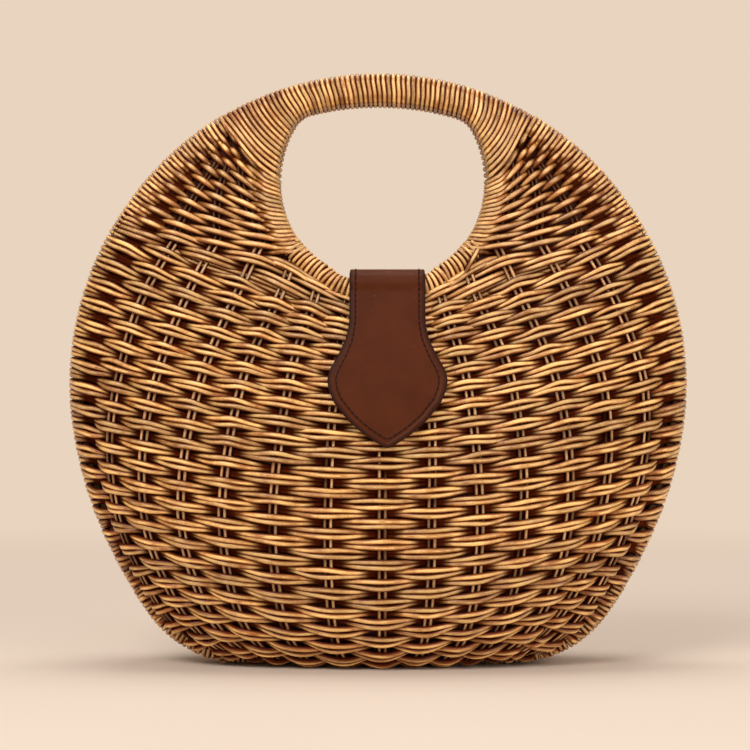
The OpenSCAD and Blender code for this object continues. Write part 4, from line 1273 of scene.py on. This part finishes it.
# Strap and tab: two layers of leather with rounded, burnished edges
LEATHER_T, BACKING_T, STRAP_GAP, TONGUE_GAP, TAB_H, TAB_CORNER_R = 1.5, 1.1, 0.4, 3.6, 38.0, 5.0
STRAP_W, TONGUE_W, TIP_Z, WIDE_Z, STRAP_SHIFT = 37.6, 59.6, 113.0, 147.0, 4.6
STRAP_T = LEATHER_T + BACKING_T
STITCH_PITCH, THREAD_R = 2.9, 0.4
BEND_R = CANE_R + 2.2 * STRAND_R + STRAP_GAP
RING_Y = float(wall_y(np.array([HOLE_SHIFT]), dip_z(np.array([0.0]), RING_R))[0])
EDGE_D = STRAP_W / 2 + STRAP_SHIFT - HOLE_SHIFT
STRAP_Z = float(dip_z(np.array([EDGE_D]), RING_R)[0]) + BEND_R
BEND_Z = STRAP_Z - BEND_R
# The tongue's width in parts of its greatest, at rises in parts of that from its tip
RISES = [0, 0.05, 0.1, 0.22, 0.41, 0.66, 0.85, 1, 1.15, 1.38, 1.6, 1.82, 2.1]
WIDTHS = [0.03, 0.135, 0.225, 0.425, 0.665, 0.89, 0.975, 1, 0.95, 0.8, 0.685, 0.633, 0.631]


def strap_half(z):
    """Half the strap's width at heights on the tongue."""
    rise = (np.asarray(z, float) - TIP_Z) / (WIDE_Z - TIP_Z)
    fine = np.linspace(0, 2.1, 200)
    w = np.interp(fine, RISES, WIDTHS)
    kernel = np.hanning(15) / np.hanning(15).sum()
    w = np.convolve(np.pad(w, 7, mode="reflect", reflect_type="odd"), kernel, "valid")
    return np.where(rise > 1.9, STRAP_W / 2, TONGUE_W / 2 * np.interp(rise, fine, w))


def tongue_y(z, gap):
    return np.maximum(RING_Y + BEND_R, wall_y(np.full_like(z, STRAP_SHIFT), z) + WALL_T / 2 + gap)


def fold_rows(side, angles):
    """The quarter turn over a ring, on the front (-1) or the back (1)."""
    return [(side * (RING_Y + BEND_R * math.sin(a)), BEND_Z + BEND_R * math.cos(a),
             side * math.sin(a), math.cos(a), STRAP_W / 2) for a in angles]


def strap_line():
    """The strap's inner face as y, z, outward y, outward z and half width, along its middle."""
    rows = [(RING_Y - STRAP_GAP - (2 * RING_Y - STRAP_GAP) * q, STRAP_Z, 0, 1, STRAP_W / 2)
            for q in np.linspace(0, 1, 26)]
    rows += fold_rows(-1, np.linspace(0, math.pi / 2, 12)[1:])
    z = BEND_Z + (TIP_Z - BEND_Z) * np.linspace(0, 1, 64)[1:]
    return np.array(rows + [(-y, z, -1, 0, w)
                            for y, z, w in zip(tongue_y(z, TONGUE_GAP), z, strap_half(z))])


def tab_line():
    """The same for the tab at the back, which ends in round corners."""
    q = np.linspace(0, 1, 30)[1:]
    z = BEND_Z - TAB_H * q
    r = TAB_CORNER_R
    end = np.maximum(0.0, TAB_H * (q - 1) + r)
    w = STRAP_W / 2 - r + np.sqrt(np.maximum(0, r * r - end * end))
    return np.array(fold_rows(1, np.linspace(0, math.pi / 2, 12))
                    + [(y, z, 1, 0, w) for y, z, w in zip(tongue_y(z, STRAP_GAP), z, w)])


def slab(name, line, low, high, material, grow=0.0, body="flap"):
    """A strip of leather between two heights over the line, with round edges."""
    half_t = (high - low) / 2
    mid = (high + low) / 2
    n = len(line)
    run = run_of(line[:, :2])
    slope = np.gradient(line[:, 4], run)
    flat = np.linspace(-1, 1, 15)
    arc = np.linspace(math.pi / 2, -math.pi / 2, 7)[1:-1]
    verts, edge = [], []
    for i in range(n):
        y, z, oy, oz, w = line[i]
        core = max(0.1, max(0.8, w + grow) - half_t)
        lean = 1 / math.sqrt(1 + slope[i] ** 2)
        section = [(u * core, half_t, (core - abs(u * core) + half_t) * lean) for u in flat]
        section += [(core + half_t * math.cos(a), half_t * math.sin(a), 0.0) for a in arc]
        section += [(-u * core, -half_t, (core - abs(u * core) + half_t) * lean) for u in flat]
        section += [(-core - half_t * math.cos(a), half_t * math.sin(-a), 0.0) for a in arc]
        end = run[-1] - run[i] + 0.4
        for sx, off, e in section:
            verts.append((STRAP_SHIFT + sx, y + oy * (mid + off), z + oz * (mid + off)))
            edge.append(min(e, end, 99))
    m = len(section)
    faces = grid_faces(n, m, True)
    faces.append(tuple(range(m)))
    faces.append(tuple((n - 1) * m + k for k in range(m - 1, -1, -1)))
    obj = solid(name, verts, faces, material)
    attribute = obj.data.attributes.new("edge_cm", "FLOAT", "POINT")
    attribute.data.foreach_set("value", np.asarray(edge, np.float32) / 10)
    bm = bmesh.new()
    bm.from_mesh(obj.data)
    bmesh.ops.recalc_face_normals(bm, faces=bm.faces)
    bm.to_mesh(obj.data)
    bm.free()
    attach(obj, body)
    return obj


def stitches(name, line, insets, end_share, body):
    """Stitches on the outer face, at the first inset from the edge up to 30 mm before the widest
    place and at the second from there on, and at a share of that from the end."""
    height = STRAP_T + 0.05
    run = run_of(line[:, :2])
    w = line[:, 4]
    widest = run[w.argmax()]
    inset = np.interp(run, [widest - 30, widest], insets)
    slope = np.gradient(w, run)
    norm = np.sqrt(1 + slope ** 2)
    s = run + inset * slope / norm
    x = w - inset / norm
    keep = (x > 0.25) & (s < run[-1] - end_share * insets[1])
    side = np.stack([s[keep], x[keep]], -1)
    s, x = np.concatenate([side * [1, -1], side[::-1]]).T
    y, z, oy, oz = sample(s, run, line[:, :4]).T
    pts = np.stack([STRAP_SHIFT + x, y + oy * height, z + oz * height], -1) * MM
    mesh = bpy.data.meshes.new(name + "_path")
    mesh.from_pydata([tuple(p) for p in pts], [(i, i + 1) for i in range(len(pts) - 1)], [])
    obj = made(name, mesh, STITCH_TREE, {"Stitch pitch": STITCH_PITCH * MM,
                                         "Thread radius": THREAD_R * MM, "Finish": thread})
    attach(obj, body)


strap_run, tab_run = strap_line(), tab_line()
strap = slab("strap_leather_layer", strap_run, BACKING_T + 0.02, STRAP_T, strap_hide)
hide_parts("strap_leather")
backing = slab("strap_backing_layer", strap_run, 0.0, BACKING_T, strap_split, grow=0.25)
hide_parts("strap_backing")
tab = slab("strap_tab_layer", tab_run, 0.0, STRAP_T, strap_hide, body="body")
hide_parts("strap_tab")
stitches("strap_stitches", strap_run, (2.9, 4.0), 0.9, "flap")
stitches("tab_stitches", tab_run, (2.9, 2.9), 1.0, "body")

# Finishes of the nodes that stay as they are
for finish, nodes in ((core_cane, ("front_ring_cane", "back_ring_cane", "front_handle_cane",
                                   "back_handle_cane", "front_hole_cane", "back_hole_cane")),
                      (brass, ("catch_socket", "socket_washer", "tab_rivets", "rivet_washers",
                               "catch_stud", "stud_washer"))):
    for node in nodes:
        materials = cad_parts[node].data.materials
        materials.clear()
        materials.append(finish)

BACKGROUND = "#e9d4bf"


# Floor: pale matt paper. Far off it fades into the plain pale background, with no horizon
def floor_sheet(radius=9000, sides=48):
    material, tree, shader, place = new_material("pale_matt_paper")
    here = place.outputs["Object"]
    soft = add_node(tree, "ShaderNodeTexNoise", {"Vector": here, "Scale": 2.0})
    colour = add_node(tree, "ShaderNodeValToRGB", {"Fac": soft},
                      [(0.3, "#dfcdbc"), (0.7, "#e3d2c2")])
    feed(tree, shader, {"Base Color": colour, "Roughness": 0.9})
    away = add_node(tree, "ShaderNodeVectorMath", {0: here}, operation="LENGTH")
    fade = add_node(tree, "ShaderNodeMapRange",
                    {"Value": away.outputs["Value"], "From Min": 0.25, "From Max": 1.2},
                    interpolation_type="SMOOTHSTEP")
    rays = add_node(tree, "ShaderNodeLightPath")
    seen = add_node(tree, "ShaderNodeMath", {0: fade, 1: rays.outputs["Is Camera Ray"]},
                    operation="MULTIPLY")
    glow = add_node(tree, "ShaderNodeEmission", {"Color": linear(BACKGROUND)})
    both = add_node(tree, "ShaderNodeMixShader", {0: seen, 1: shader, 2: glow})
    output = next(n for n in tree.nodes if n.type == "OUTPUT_MATERIAL")
    feed(tree, output, {"Surface": both})
    rim = [(radius * math.cos(a), radius * math.sin(a), 0)
           for a in np.linspace(0, 2 * math.pi, sides + 1)[:-1]]
    solid("pale_floor", rim, [tuple(range(sides))], material)


floor_sheet()


def lamp(name, place, target, size, power):
    data = bpy.data.lights.new(name, "AREA")
    data.shape = "RECTANGLE"
    data.size, data.size_y = size
    data.energy = power
    obj = bpy.data.objects.new(name, data)
    bpy.context.collection.objects.link(obj)
    obj.location = place
    obj.rotation_euler = (Vector(target) - Vector(place)).to_track_quat("-Z", "Y").to_euler()


lamp("key", (-0.75, -1.5, 1.5), (0, 0, 0.12), (1.0, 1.0), 24)
lamp("fill", (1.3, -1.3, 0.7), (0, 0, 0.12), (1.2, 1.2), 13)
lamp("overhead", (0.0, 0.2, 1.9), (0, 0, 0.1), (1.2, 0.9), 17)
world = bpy.data.worlds.new("studio")
world.use_nodes = True
sky = world.node_tree
sky.nodes.clear()
# The camera and reflections see the pale background; the object is lit by the soft light
soft_light = add_node(sky, "ShaderNodeBackground", {"Color": linear("#fff4e6"), "Strength": 0.30})
pale = add_node(sky, "ShaderNodeBackground", {"Color": linear(BACKGROUND), "Strength": 1.0})
rays = add_node(sky, "ShaderNodeLightPath")
direct = rays.outputs["Is Camera Ray"]
for kind in ("Is Glossy Ray", "Is Transmission Ray"):
    direct = add_node(sky, "ShaderNodeMath", {0: direct, 1: rays.outputs[kind]},
                      operation="MAXIMUM")
shown = add_node(sky, "ShaderNodeMixShader", {0: direct, 1: soft_light, 2: pale})
add_node(sky, "ShaderNodeOutputWorld", {"Surface": shown})
bpy.context.scene.world = world
bpy.context.scene.view_settings.view_transform = "Standard"
